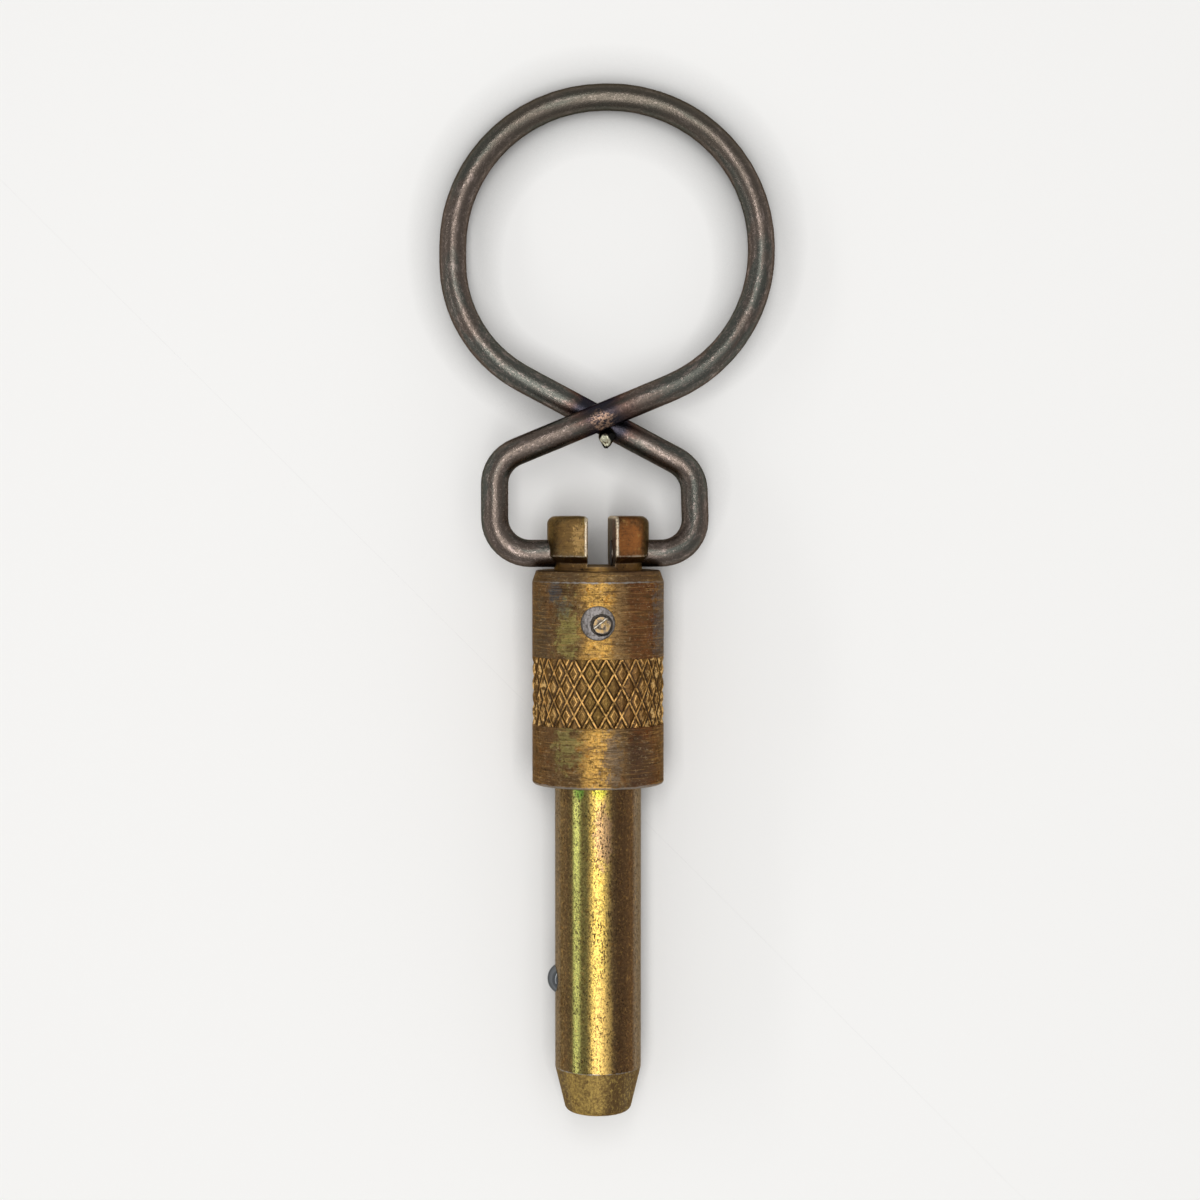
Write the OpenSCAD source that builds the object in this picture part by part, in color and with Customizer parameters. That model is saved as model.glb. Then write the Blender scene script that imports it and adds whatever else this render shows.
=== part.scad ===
// Ball-lock quick release pin with a figure-eight wire pull handle.
// The pin lies on its side: its axis runs along X with the nose at +X, and
// the origin is the centre of the collar's shoulder, where the grip begins.
// Each piece is drawn upright about its own axis, z = 0 at the shoulder and
// z rising towards the handle, and lay() then turns it down onto its side.

/* [Shank] */
// Diameter of the shank
shank_d = 9.525; // [9.4:0.005:10]
// Length from the shoulder to the start of the nose taper
shank_len = 31.5; // [30:0.1:45]
// Length of the tapered nose
nose_len = 5; // [3:0.1:8]
// Half angle of the nose taper in degrees
nose_angle = 13.6; // [5:0.1:20]
// Radius that rounds the end of the nose
nose_corner = 0.8; // [0.2:0.05:1.2]

/* [Collar] */
// Diameter of the collar
collar_d = 14.5; // [13.5:0.1:18]
// Length of the collar
collar_len = 23.5; // [22.5:0.1:28]
// Radial width of the chamfer round the collar's top
collar_chamfer = 0.45; // [0.2:0.05:1]
// Height of that chamfer
collar_chamfer_h = 1.2; // [0.3:0.05:1.6]
// Radius that rounds the collar's bottom rim
collar_rim = 0.3; // [0.1:0.05:0.6]

/* [Knurl] */
// Height of the knurled band's lower edge above the shoulder
knurl_from = 6.65; // [4:0.05:8]
// Width of the knurled band
knurl_w = 7.4; // [3:0.1:8]
// Diamonds in one row round the collar
knurl_count = 25; // [16:1:34]
// Length of one diamond along the axis
knurl_pitch = 3.07; // [2:0.01:4]
// Depth of the grooves between the diamonds
knurl_depth = 0.34; // [0.15:0.01:0.5]
// Share of a diamond's foot that its flat tip keeps
knurl_tip = 0.3; // [0.1:0.05:0.6]

/* [Cross pin] */
// Diameter of the cross pin
cross_d = 3.7; // [3:0.05:4]
// Distance from the collar's top down to the middle of the cross pin
cross_down = 5.5; // [5:0.1:6]
// Wall of the collar left under the cross pin's blind end
cross_floor = 1.2; // [0.8:0.1:1.8]
// Diameter of the ring mark that stakes the pin's end
stake_d = 2.5; // [1.5:0.05:2.8]
// How far the stake mark sits to one side of the pin's middle
stake_aside = 0.5; // [0:0.05:0.8]
// Depth of the stake mark
stake_depth = 0.22; // [0.05:0.01:0.4]

/* [Handle head] */
// Diameter of the forked head
head_d = 11.2; // [10.2:0.1:14]
// Height of the head's top above the collar
head_h = 5.95; // [5:0.05:9]
// Height of the head's underside above the collar
head_under = 1.6; // [1:0.05:2.4]
// Radius that rounds the head's top edge
head_corner = 0.9; // [0.2:0.05:1.2]
// Diameter of the neck under the head
neck_d = 9.7; // [9:0.05:10.1]
// Depth of the neck inside the collar
neck_depth = 1.8; // [1:0.05:2]
// Width of the slot that forks the head
fork_w = 3; // [2:0.05:4]
// Height of the slot's floor above the collar
fork_floor = 0.5; // [0.2:0.05:1]
// Width of the bevel along the slot's outer edges
fork_bevel = 0.25; // [0.1:0.05:0.4]

/* [Ring handle] */
// Diameter of the handle's wire
wire_d = 3; // [2.4:0.05:3.2]
// Height of the handle's pivot above the collar
pivot_h = 1.85; // [1.7:0.05:3]
// Half the width of the lower loop, between the middles of its two legs
bail_half = 11.12; // [10:0.02:14]
// How far the handle has slid sideways in the head
side_play = -0.25; // [-0.4:0.05:0.4]
// Height of the left upper corner of the lower loop above the pivot
bail_left = 10.05; // [8:0.05:14]
// Height of the right upper corner of the lower loop above the pivot
bail_right = 9.4; // [8:0.05:14]
// Bend radius at the foot of the lower loop
foot_bend = 3.9; // [2.5:0.1:4.5]
// Bend radius at the upper corners of the lower loop
shoulder_bend = 3.8; // [2.5:0.1:5]
// Radius of the finger ring, to the middle of the wire
ring_r = 17.1; // [15:0.1:22]
// Distance from the pivot to the middle of the finger ring
ring_centre = 34; // [32:0.1:45]
// Sideways shift of the finger ring from the middle of the lower loop
ring_shift = 1.55; // [-2:0.05:2]
// Height above the pivot at which the right side of the ring would meet its leg
ring_right = 22.5; // [20:0.1:26]
// The same on the left side
ring_left = 23.7; // [20:0.1:26]
// Bend radius between the left side of the ring and its leg
ring_left_bend = 14.6; // [10:0.1:17]
// How far the two legs sink into each other where they are welded
weld_sink = 0.3; // [0.1:0.05:0.6]
// Radius of the weld bead under the crossing
bead_r = 0.72; // [0.3:0.02:1]
// How far the bead hangs to one side of the crossing
bead_aside = 0.7; // [0:0.05:1]
// How far the bead's middle hangs below the wire's underside
bead_down = 0.3; // [0:0.05:0.6]

/* [Spindle] */
// Diameter of the tubular spindle
tube_d = 6; // [5.4:0.05:6.6]
// Diameter of the spring chamber inside the spindle
chamber_d = 4.4; // [4.2:0.05:4.8]
// Distance that the spindle is pulled out to free the ball
travel = 3; // [2:0.1:3.4]
// Length of the threaded plug that joins the locking rod to the spindle
plug_len = 4; // [3:0.1:5]
// Thickness of the flange between the spindle and the locking rod
flange_h = 1.2; // [0.8:0.1:1.6]
// Diameter of the bore that guides the locking rod
lock_bore_d = 4.1; // [3.9:0.05:4.6]

/* [Locking ball] */
// Diameter of the locking ball
ball_d = 3.57; // [3.2:0.01:4]
// Distance from the shoulder to the middle of the ball
ball_at = 21.8; // [19:0.1:24]
// How far the locked ball stands out of the shank
ball_out = 0.85; // [0.5:0.01:1.1]
// Half angle of the cone that lets the ball in, in degrees
cam_angle = 25; // [22:1:35]

/* [Return spring] */
// Length of the spring at rest
spring_len = 8.2; // [7.5:0.1:9]
// Wire diameter of the spring
spring_wire = 0.5; // [0.4:0.05:0.6]
// Number of turns
spring_turns = 7; // [5:1:8]

/* [Clearances] */
// Radial clearance of pieces that slide or swing
running = 0.05; // [0.02:0.01:0.08]
// Radial gap left at pressed and screwed seats
seated = 0.02; // [0.01:0.005:0.04]

/* [Hidden] */
$fn = 64;
over = 1; // length by which a cut runs past the surface it opens

shank_r = shank_d / 2;
collar_r = collar_d / 2;
cross_r = cross_d / 2;
neck_r = neck_d / 2;
head_r = head_d / 2;
wire_r = wire_d / 2;
tube_r = tube_d / 2;
chamber_r = chamber_d / 2;
lock_bore_r = lock_bore_d / 2;
ball_r = ball_d / 2;

// heights along the pin, from the shoulder
nose_z = -shank_len - nose_len;
neck_foot = collar_len - neck_depth;
pivot_z = collar_len + pivot_h;
cross_z = collar_len - cross_down;
plug_top = cross_z - cross_r - 2 * seated - spring_len;
tube_foot = plug_top - plug_len;
flange_foot = tube_foot - flange_h;
guide_top = flange_foot - 0.4; // floor of the wide bore, clear of the flange

// the locked ball bears on the edge of the rod's land, and the cone behind
// that edge lets it in as the spindle is pulled
ball_x = shank_r + ball_out - ball_r;
ball_in = ball_out + running; // the freed ball lies just under the surface
ball_play = 0.06; // gap between the locked ball and the rod
land_lead = 0.15; // the land ends this far before the middle of the ball
land_r = ball_x - ball_r - ball_play;
groove_r = land_r - ball_in;
land_end = -ball_at + land_lead;
cone_len = (land_r - groove_r) / tan(cam_angle);
groove_end = -ball_at - travel - ball_r - 0.2;
rod_end = groove_end - (land_r - groove_r) - 2.6;
bore_end = rod_end - 0.8;

// the ring lies level when the head is turned by the slope that the two legs'
// different depths give the ring
leg_depth = wire_r - weld_sink / 2;
ring_roll = atan(leg_depth / ring_r);
ring_reach = ring_centre + ring_r;
head_turn = atan(tan(ring_roll) * cos(asin((collar_r - wire_r) / ring_reach)));
ring_droop = asin((collar_r - wire_r - (ring_shift + side_play) * sin(head_turn))
  / (ring_reach * cos(head_turn)));

function unit(v) = v / norm(v);

// Lays a piece drawn upright down on its side, with the nose at +X.
module lay() {
  rotate([0, -90, 0]) children();
}

// A disc section with a rounded edge, to be turned about the axis: a straight
// wall of radius r up to height h, with its upper corner rounded to radius c.
module rounded_wall(r, h, c) {
  square([r - c, h]);
  square([r, h - c]);
  translate([r - c, h - c]) circle(r = c);
}

// ---- shank ----

// The nose narrows to a rounded end, and the shank above it is plain.
module shank_outline() {
  slope = tan(nose_angle);
  tip_r = shank_r - nose_len * slope;
  c = nose_corner;
  // the corner's arc touches the taper and the end face
  arc_x = tip_r - c * (1 - sin(nose_angle)) / cos(nose_angle);
  polygon([[0, nose_z], [arc_x, nose_z], [arc_x, nose_z + c],
    [arc_x + c * cos(nose_angle), nose_z + c - c * sin(nose_angle)],
    [shank_r, -shank_len], [shank_r, neck_foot], [0, neck_foot]]);
  translate([arc_x, nose_z + c]) circle(r = c);
}

module ball_hole() {
  hole_r = ball_r + running;
  // the retaining lip is as wide as the ball where it leaves the shank
  lip_r = sqrt(ball_r * ball_r - (shank_r - ball_x) * (shank_r - ball_x)) + running;
  lip_h = 0.6;
  seat = shank_r - lip_h;
  translate([0, 0, -ball_at]) rotate([90, 0, 0]) {
    cylinder(r = hole_r, h = seat);
    translate([0, 0, seat]) cylinder(r1 = hole_r, r2 = lip_r, h = lip_h);
    translate([0, 0, shank_r]) cylinder(r = lip_r, h = over);
  }
}
module shank() {
  color("goldenrod") lay() difference() {
    rotate_extrude() shank_outline();
    translate([0, 0, bore_end]) cylinder(r = lock_bore_r, h = neck_foot - bore_end + over);
    translate([0, 0, guide_top])
      cylinder(r = tube_r + running, h = neck_foot - guide_top + over);
    cross_hole();
    ball_hole();
  }
}

// ---- collar ----

module collar_outline() {
  lap = 0.3; // the band's own wall fills the recess down to this below the grooves
  floor_r = collar_r - knurl_depth - lap;
  polygon([[0, 0], [collar_r - collar_rim, 0], [collar_r - collar_rim, collar_rim],
    [collar_r, collar_rim], [collar_r, knurl_from], [floor_r, knurl_from],
    [floor_r, knurl_from + knurl_w], [collar_r, knurl_from + knurl_w],
    [collar_r, collar_len - collar_chamfer_h],
    [collar_r - collar_chamfer, collar_len], [0, collar_len]]);
  translate([collar_r - collar_rim, collar_rim]) circle(r = collar_rim);
}

// The knurled band. Two crossing sets of helical grooves leave rows of raised
// diamonds with flat tips, each row half a diamond on from the next. The end
// rows run on into the smooth collar above and below the band.
module knurl() {
  n = knurl_count;
  row_h = knurl_pitch / 2;
  rows = ceil(knurl_w / row_h) + 1;
  shy = 0.03; // the tips stand this much below the smooth collar
  wall = 0.6;
  top = knurl_from + knurl_w + shy;
  root_r = collar_r - knurl_depth;
  tip_r = collar_r - shy;
  inner_r = root_r - wall;
  half_w = knurl_tip * PI * tip_r / n;
  half_l = knurl_tip * row_h;

  function on(r, turn, z) = [r * cos(turn), r * sin(turn), z];
  // where the grooves cross: level -1 is the upper end of the first row
  function crossing_turn(j, k) = (k + (j + 1) % 2 / 2) * 360 / n;
  function crossing(j, k) = (j + 1) * n + (k + n) % n;
  first_tip = (rows + 2) * n;
  first_top = first_tip + 4 * rows * n;
  first_foot = first_top + 2 * n;
  // the zigzag edges of the band's upper and lower end, in half columns
  function edge_top(i) = crossing(i % 2 - 1, floor(i / 2));
  function edge_foot(i) = crossing(rows - (rows + 1 + i) % 2, floor(i / 2));

  crossings = [for (j = [-1:rows], k = [0:n - 1])
    on(root_r, crossing_turn(j, k), top - j * row_h)];
  tips = [for (j = [0:rows - 1], k = [0:n - 1]) let(
      turn = (k + j % 2 / 2) * 360 / n,
      side = [-sin(turn), cos(turn), 0] * half_w,
      middle = on(tip_r, turn, top - j * row_h))
    each [middle + [0, 0, half_l], middle + side, middle - [0, 0, half_l], middle - side]];
  inner_top = [for (i = [0:2 * n - 1]) on(inner_r, i * 180 / n, top + 0.5 * row_h)];
  inner_foot = [for (i = [0:2 * n - 1]) on(inner_r, i * 180 / n, top - (rows - 0.5) * row_h)];

  function quad(a, b, c, d) = [[a, b, c], [a, c, d]];
  diamonds = [for (j = [0:rows - 1], k = [0:n - 1]) let(
      t = first_tip + 4 * (j * n + k),
      up = crossing(j - 1, k), right = crossing(j, k + j % 2),
      down = crossing(j + 1, k), left = crossing(j, k - 1 + j % 2))
    each concat([[t, t + 1, t + 2, t + 3]],
      quad(up, right, t + 1, t), quad(right, down, t + 2, t + 1),
      quad(down, left, t + 3, t + 2), quad(left, up, t, t + 3))];
  closing = [for (i = [0:2 * n - 1]) let(
      next = (i + 1) % (2 * n),
      top_a = first_top + i, top_b = first_top + next,
      foot_a = first_foot + i, foot_b = first_foot + next)
    each concat(quad(edge_top(next), edge_top(i), top_a, top_b),
      quad(edge_foot(i), edge_foot(next), foot_b, foot_a),
      quad(top_b, top_a, foot_a, foot_b))];
  polyhedron(points = concat(crossings, tips, inner_top, inner_foot),
    faces = concat(diamonds, closing));
}

module collar() {
  color("darkgoldenrod") lay() difference() {
    union() {
      rotate_extrude() collar_outline();
      knurl();
    }
    translate([0, 0, -over])
      cylinder(r = shank_r + seated, h = collar_len + 2 * over);
    translate([0, 0, neck_foot])
      cylinder(r = neck_r + running, h = neck_depth + over);
    cross_hole();
  }
}

// ---- cross pin ----

// The hole is drilled from above and stops inside the collar's far wall.
module cross_hole() {
  translate([cross_floor - collar_r, 0, cross_z]) rotate([0, 90, 0])
    cylinder(r = cross_r + seated, h = collar_d + over);
}

// Its upper end is dressed flush with the collar and staked with a ring punch.
module cross_pin() {
  color("slategray") lay() difference() {
    intersection() {
      translate([cross_floor - collar_r + seated, 0, cross_z]) rotate([0, 90, 0])
        cylinder(r = cross_r, h = collar_d);
      cylinder(r = collar_r - seated, h = collar_len);
    }
    translate([collar_r - stake_depth, stake_aside, cross_z - stake_aside / 2]) rotate([0, 90, 0])
      rotate_extrude() translate([stake_d / 2 - stake_depth, 0])
        polygon([[0, 0], [stake_depth, over], [-stake_depth, over]]);
  }
}

// ---- spindle ----

module spindle_outline() {
  flare = head_r - neck_r;
  polygon([[0, tube_foot], [tube_r, tube_foot], [tube_r, neck_foot],
    [neck_r, neck_foot], [neck_r, collar_len + head_under - flare],
    [head_r, collar_len + head_under],
    [head_r, collar_len + head_h - head_corner],
    [head_r - head_corner, collar_len + head_h - head_corner],
    [head_r - head_corner, collar_len + head_h],
    [0, collar_len + head_h]]);
  translate([head_r - head_corner, collar_len + head_h - head_corner])
    circle(r = head_corner);
}

// The slot through the tube's two walls, in which the cross pin stands.
module travel_slot() {
  r = cross_r + running;
  for (z = [cross_z, cross_z - travel])
    translate([0, 0, z]) rotate([0, 90, 0]) cylinder(r = r, h = tube_d + over, center = true);
  translate([-tube_d / 2 - over / 2, -r, cross_z - travel]) cube([tube_d + over, 2 * r, travel]);
}

// The slot that forks the head, with its outer edges bevelled.
module fork_slot() {
  w = fork_w / 2;
  c = fork_bevel;
  floor_z = collar_len + fork_floor;
  top_z = collar_len + head_h;
  edge = sqrt(head_r * head_r - w * w) - c;
  out = head_r + over;
  translate([-out, -w, floor_z]) cube([2 * out, 2 * w, head_h + over]);
  translate([0, 0, floor_z]) linear_extrude(head_h + over) for (side = [-1, 1])
    polygon([[side * edge, -w], [side * edge, w], [side * out, w + out - edge],
      [side * out, -w - out + edge]]);
  translate([-out, 0, 0]) rotate([90, 0, 90]) linear_extrude(2 * out)
    polygon([[-w, top_z - c], [w, top_z - c], [w + c + over, top_z + over],
      [-w - c - over, top_z + over]]);
}

module spindle() {
  chamber_top = cross_z + cross_r + 0.6; // the chamber ends a little above the cross pin
  color("peru") lay() difference() {
    rotate_extrude() spindle_outline();
    translate([0, 0, tube_foot - over])
      cylinder(r = chamber_r, h = chamber_top - tube_foot + over);
    travel_slot();
    rotate([0, 0, head_turn]) {
      fork_slot();
      translate([0, 0, pivot_z]) rotate([90, 0, 0])
        cylinder(r = wire_r + running, h = head_d + 2 * over, center = true);
    }
  }
}

// ---- locking rod ----

module locking_rod() {
  plug_r = chamber_r - seated;
  tip = 0.5;
  color("dimgray") lay() rotate_extrude()
    polygon([[0, rod_end], [land_r - tip, rod_end], [land_r, rod_end + tip],
      [land_r, groove_end - (land_r - groove_r)], [groove_r, groove_end],
      [groove_r, land_end - cone_len], [land_r, land_end],
      [land_r, flange_foot], [tube_r, flange_foot], [tube_r, tube_foot],
      [plug_r, tube_foot], [plug_r, plug_top - tip], [plug_r - tip, plug_top],
      [0, plug_top]]);
}

// ---- return spring ----

// A compression spring with closed ends, as one swept tube.
module return_spring() {
  sides = 8;
  per_turn = 18;
  steps = spring_turns * per_turn;
  coil_gap = 0.1;
  coil_r = chamber_r - coil_gap - spring_wire / 2;
  rise = spring_len - spring_wire - 2 * spring_wire;
  // height of the coil at turn t: flat end turns, an even rise between them
  function coil_z(t) = let(u = min(max((t - 1) / (spring_turns - 2), 0), 1))
    spring_wire / 2 + spring_wire * (min(t, 1) + max(t - spring_turns + 1, 0)) + rise * u;
  points = [for (i = [0:steps], k = [0:sides - 1]) let(
      t = i / per_turn,
      a = 360 * t,
      b = 360 * k / sides,
      r = coil_r + spring_wire / 2 * cos(b))
    [r * cos(a), r * sin(a), plug_top + coil_z(t) + spring_wire / 2 * sin(b)]];
  walls = [for (i = [0:steps - 1], k = [0:sides - 1]) let(
      a = i * sides + k, b = i * sides + (k + 1) % sides)
    each [[a, a + sides, b + sides], [a, b + sides, b]]];
  color("silver") lay() polyhedron(points = points, faces = concat(
    [[for (k = [0:sides - 1]) k]],
    walls,
    [[for (k = [0:sides - 1]) steps * sides + sides - 1 - k]]));
}

// ---- locking ball ----

module locking_ball() {
  color("lightsteelblue") lay() translate([0, -ball_x, -ball_at]) sphere(r = ball_r);
}

// ---- ring handle ----

// A route is a list of [corner, bend radius]; its first and last corners are
// the wire's ends. Each bend is [in, out, turn, radius, start, end].
function bend_at(route, i) = let(
    into = unit(route[i][0] - route[i - 1][0]),
    away = unit(route[i + 1][0] - route[i][0]),
    turn = acos(into * away),
    reach = route[i][1] * tan(turn / 2)
  ) [into, away, turn, route[i][1], route[i][0] - reach * into, route[i][0] + reach * away];

// Moves a piece so that its own axes u, v, w stand at a point.
module place(u, v, w, at) {
  multmatrix([[u.x, v.x, w.x, at.x], [u.y, v.y, w.y, at.y], [u.z, v.z, w.z, at.z]])
    children();
}

module straight(from, to, r) {
  w = unit(to - from);
  u = unit(cross(w, abs(w.z) < 0.9 ? [0, 0, 1] : [1, 0, 0]));
  place(u, cross(w, u), w, from) cylinder(r = r, h = norm(to - from));
}

module bend(b, r) {
  centre = b[4] + b[3] * unit(b[1] - (b[0] * b[1]) * b[0]);
  u = unit(b[4] - centre);
  place(u, b[0], cross(u, b[0]), centre)
    rotate_extrude(angle = b[2]) translate([b[3], 0]) circle(r = r);
}

// A wire bent along a route. Each straight stretch laps a little way into the
// bends at its ends, which are a hair thicker, as wire is where it was bent.
module bent_wire(route, r) {
  lap = 0.1;
  swell = 0.01;
  last = len(route) - 1;
  bends = [for (i = [1:last - 1]) bend_at(route, i)];
  starts = [route[0][0], for (b = bends) b[5]];
  ends = [for (b = bends) b[4], route[last][0]];
  for (i = [0:last - 1]) {
    along = unit(ends[i] - starts[i]);
    straight(starts[i] - (i > 0 ? lap : 0) * along,
      ends[i] + (i < last - 1 ? lap : 0) * along, r);
  }
  for (b = bends) bend(b, r + swell);
}

// One wire from its end in the left ear, over the front of the crossing, round
// the ring and back under the crossing to its end in the right ear. Corners are
// [depth, sideways, height above the pivot].
module figure_eight() {
  stand_in = 0.1; // each end of the wire stands this far into the slot
  end_gap = fork_w - 2 * stand_in;
  top_gap = 0.2; // straight stretch left at the top of the ring
  right = ring_shift + ring_r;
  left = ring_shift - ring_r;
  top = ring_centre + ring_r;
  d = leg_depth;
  bent_wire([
    [[0, -end_gap / 2 - side_play, 0], 0],
    [[0, -bail_half, 0], foot_bend],
    [[d, -bail_half, bail_left], shoulder_bend],
    [[d, right, ring_right], ring_r - top_gap],
    [[d, right, top], ring_r - top_gap],
    [[-d, left, top], ring_r - top_gap],
    [[-d, left, ring_left], ring_left_bend],
    [[-d, bail_half, bail_right], shoulder_bend],
    [[0, bail_half, 0], foot_bend],
    [[0, end_gap / 2 - side_play, 0], 0]
  ], wire_r);
}

module ring_handle() {
  // where the two legs cross, from their slopes
  rise_r = (ring_right - bail_left) / (ring_shift + ring_r + bail_half);
  rise_l = (ring_left - bail_right) / (bail_half - ring_shift + ring_r);
  cross_y = (bail_right - bail_left + (rise_l - rise_r) * bail_half) / (rise_l + rise_r);
  cross_h = bail_left + rise_r * (cross_y + bail_half);
  color("dimgray") lay() rotate([0, 0, head_turn]) translate([0, side_play, pivot_z])
    rotate([0, -ring_droop, 0]) {
      figure_eight();
      translate([0, cross_y + bead_aside, cross_h - wire_r - bead_down]) sphere(r = bead_r);
    }
}

shank();
collar();
cross_pin();
spindle();
locking_rod();
return_spring();
locking_ball();
ring_handle();
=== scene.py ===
import math

import bpy
import bmesh
from mathutils import Matrix, Vector


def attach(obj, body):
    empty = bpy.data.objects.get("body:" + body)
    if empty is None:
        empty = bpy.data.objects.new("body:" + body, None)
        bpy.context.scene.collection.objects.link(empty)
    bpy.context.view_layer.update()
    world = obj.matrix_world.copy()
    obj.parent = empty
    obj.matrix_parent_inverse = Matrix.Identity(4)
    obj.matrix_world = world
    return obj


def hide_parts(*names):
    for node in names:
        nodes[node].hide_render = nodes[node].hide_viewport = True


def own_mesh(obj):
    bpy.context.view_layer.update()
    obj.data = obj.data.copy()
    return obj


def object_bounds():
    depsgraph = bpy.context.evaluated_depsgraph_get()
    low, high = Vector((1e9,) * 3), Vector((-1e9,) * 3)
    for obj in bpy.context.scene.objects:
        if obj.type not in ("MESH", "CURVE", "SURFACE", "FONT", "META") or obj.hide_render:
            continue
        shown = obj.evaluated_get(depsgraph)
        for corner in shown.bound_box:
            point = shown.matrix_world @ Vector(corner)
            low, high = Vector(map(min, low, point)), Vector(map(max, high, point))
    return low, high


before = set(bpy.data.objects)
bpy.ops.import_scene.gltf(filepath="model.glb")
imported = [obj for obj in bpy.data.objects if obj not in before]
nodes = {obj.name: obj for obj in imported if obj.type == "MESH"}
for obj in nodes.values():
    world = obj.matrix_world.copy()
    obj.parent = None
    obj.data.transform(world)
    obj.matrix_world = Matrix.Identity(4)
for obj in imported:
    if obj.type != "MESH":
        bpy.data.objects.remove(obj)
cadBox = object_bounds()
mm = 0.001
print("frame loaded:", ", ".join(sorted(nodes)))


def addObject(name, data):
    item = bpy.data.objects.new(name, data)
    bpy.context.scene.collection.objects.link(item)
    return item


# Turns a bmesh into an object and lets the bmesh go.
def addFormed(name, form):
    mesh = bpy.data.meshes.new(name)
    form.to_mesh(mesh)
    form.free()
    return addObject(name, mesh)


# A frame at place, its X axis along right and its Z axis along back.
def facing(place, right, back):
    return Matrix.Translation(place) @ Matrix((right, back.cross(right), back)).transposed().to_4x4()


def connect(value, socket):
    if isinstance(value, bpy.types.NodeSocket):
        socket.id_data.links.new(value, socket)
    elif isinstance(value, tuple) and socket.type == "RGBA":
        socket.default_value = (*value, 1)
    else:
        socket.default_value = value


# inputs: socket name or index -> value or another node's output.
def addNode(tree, kind, inputs=None, **settings):
    node = tree.nodes.new(kind)
    for name, value in settings.items():
        setattr(node, name, value)
    for name, value in (inputs or {}).items():
        connect(value, node.inputs[name])
    return node


# As addNode, in the tree that its inputs come from.
def fromNode(kind, inputs, **settings):
    tree = next(v.id_data for v in inputs.values() if isinstance(v, bpy.types.NodeSocket))
    return addNode(tree, kind, inputs, **settings)


def calc(operation, a, b=0.0, clamp=False):
    inputs = {0: a, 1: b}
    return fromNode("ShaderNodeMath", inputs, operation=operation, use_clamp=clamp).outputs[0]


def plus(a, b):
    return calc("ADD", a, b)


def minus(a, b):
    return calc("SUBTRACT", a, b)


def times(a, b):
    return calc("MULTIPLY", a, b)


# value + (other - middle) * share
def plusShare(value, other, share, middle=0.0):
    if middle:
        other = minus(other, middle)
    return plus(value, times(other, share))


def apart(value, at):
    return calc("ABSOLUTE", minus(value, at))


def rootOfSquares(a, b):
    return calc("SQRT", plus(times(a, a), times(b, b)))


def split(vector):
    return fromNode("ShaderNodeSeparateXYZ", {0: vector}).outputs


def vectorCalc(operation, a, b=(0.0, 0.0, 0.0)):
    node = fromNode("ShaderNodeVectorMath", {0: a, 1: b}, operation=operation)
    isNumber = operation in ("LENGTH", "DISTANCE", "DOT_PRODUCT")
    return node.outputs["Value" if isNumber else "Vector"]


def stretch(vector, shape):
    return vectorCalc("MULTIPLY", vector, shape)


def scaleBy(vector, share):
    inputs = {0: vector, "Scale": share}
    return fromNode("ShaderNodeVectorMath", inputs, operation="SCALE").outputs[0]


# Smooth step from start at low to end at high.
def ramp(value, low, high, start=0.0, end=1.0):
    inputs = {"Value": value, "From Min": low, "From Max": high, "To Min": start, "To Max": end}
    return fromNode("ShaderNodeMapRange", inputs, interpolation_type="SMOOTHSTEP").outputs["Result"]


# Comes in between the first two edges and goes out between the last two.
def band(value, edges, peak=1.0):
    comeIn, full, fade, gone = edges
    return times(ramp(value, comeIn, full), ramp(value, fade, gone, peak, 0.0))


def mix(share, a, b, blend="MIX"):
    inputs = {"Factor": share, 6: a, 7: b}
    return fromNode("ShaderNodeMix", inputs, data_type="RGBA", blend_type=blend).outputs[2]


# Lays tone over colour where value goes from low to high, at most by share.
def wash(colour, tone, value, low, high, share=1.0, blend="MIX"):
    return mix(ramp(value, low, high, 0.0, share), colour, tone, blend)


# tones: (tone, from, to, share), all by the same value.
def washAll(colour, value, tones):
    for tone, *limits in tones:
        colour = wash(colour, tone, value, *limits)
    return colour


# Lays tone over colour where mask is, by share.
def stain(colour, tone, mask, share):
    return mix(times(mask, share), colour, tone)


def noise(vector, scale, detail=2.0, rough=0.5, distort=0.0):
    titles = ("Vector", "Scale", "Detail", "Roughness", "Distortion")
    inputs = dict(zip(titles, (vector, scale, detail, rough, distort)))
    return fromNode("ShaderNodeTexNoise", inputs).outputs["Fac"]


def shapedNoise(vector, shape, *values):
    return noise(stretch(vector, shape), *values)


# inputs and results: socket name -> its kind, or a number for a Float that starts at it.
def newTree(name, family, inputs, results):
    tree = bpy.data.node_groups.new(name, family)
    for side, sockets in (("INPUT", inputs), ("OUTPUT", results)):
        for title, given in sockets.items():
            kind = given if isinstance(given, str) else "Float"
            socket = tree.interface.new_socket(title, in_out=side, socket_type="NodeSocket" + kind)
            if kind != given:
                socket.default_value = given
    return tree, tree.nodes.new("NodeGroupInput").outputs, tree.nodes.new("NodeGroupOutput").inputs


# Turns the function below it into a shader group, from Place in mm and values to results.
def shaderGroup(name, values, results):
    def build(fill):
        kinds = {title: "Color" if title == "Color" else "Float" for title in results}
        inputs = {"Place": "Vector", **values}
        tree, given, result = newTree(name, "ShaderNodeTree", inputs, kinds)
        fill(given, result)
        return tree

    return build


def useGroup(group, place, values=None):
    inputs = {"Place": place, **(values or {})}
    return fromNode("ShaderNodeGroup", inputs, node_tree=group).outputs


def newMaterial(name):
    material = bpy.data.materials.new(name)
    material.use_nodes = True
    place = addNode(material.node_tree, "ShaderNodeTexCoord").outputs["Object"]
    return material, stretch(place, (1000.0, 1000.0, 1000.0))


def readAttribute(material, name):
    return addNode(material.node_tree, "ShaderNodeAttribute", attribute_name=name).outputs


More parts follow.
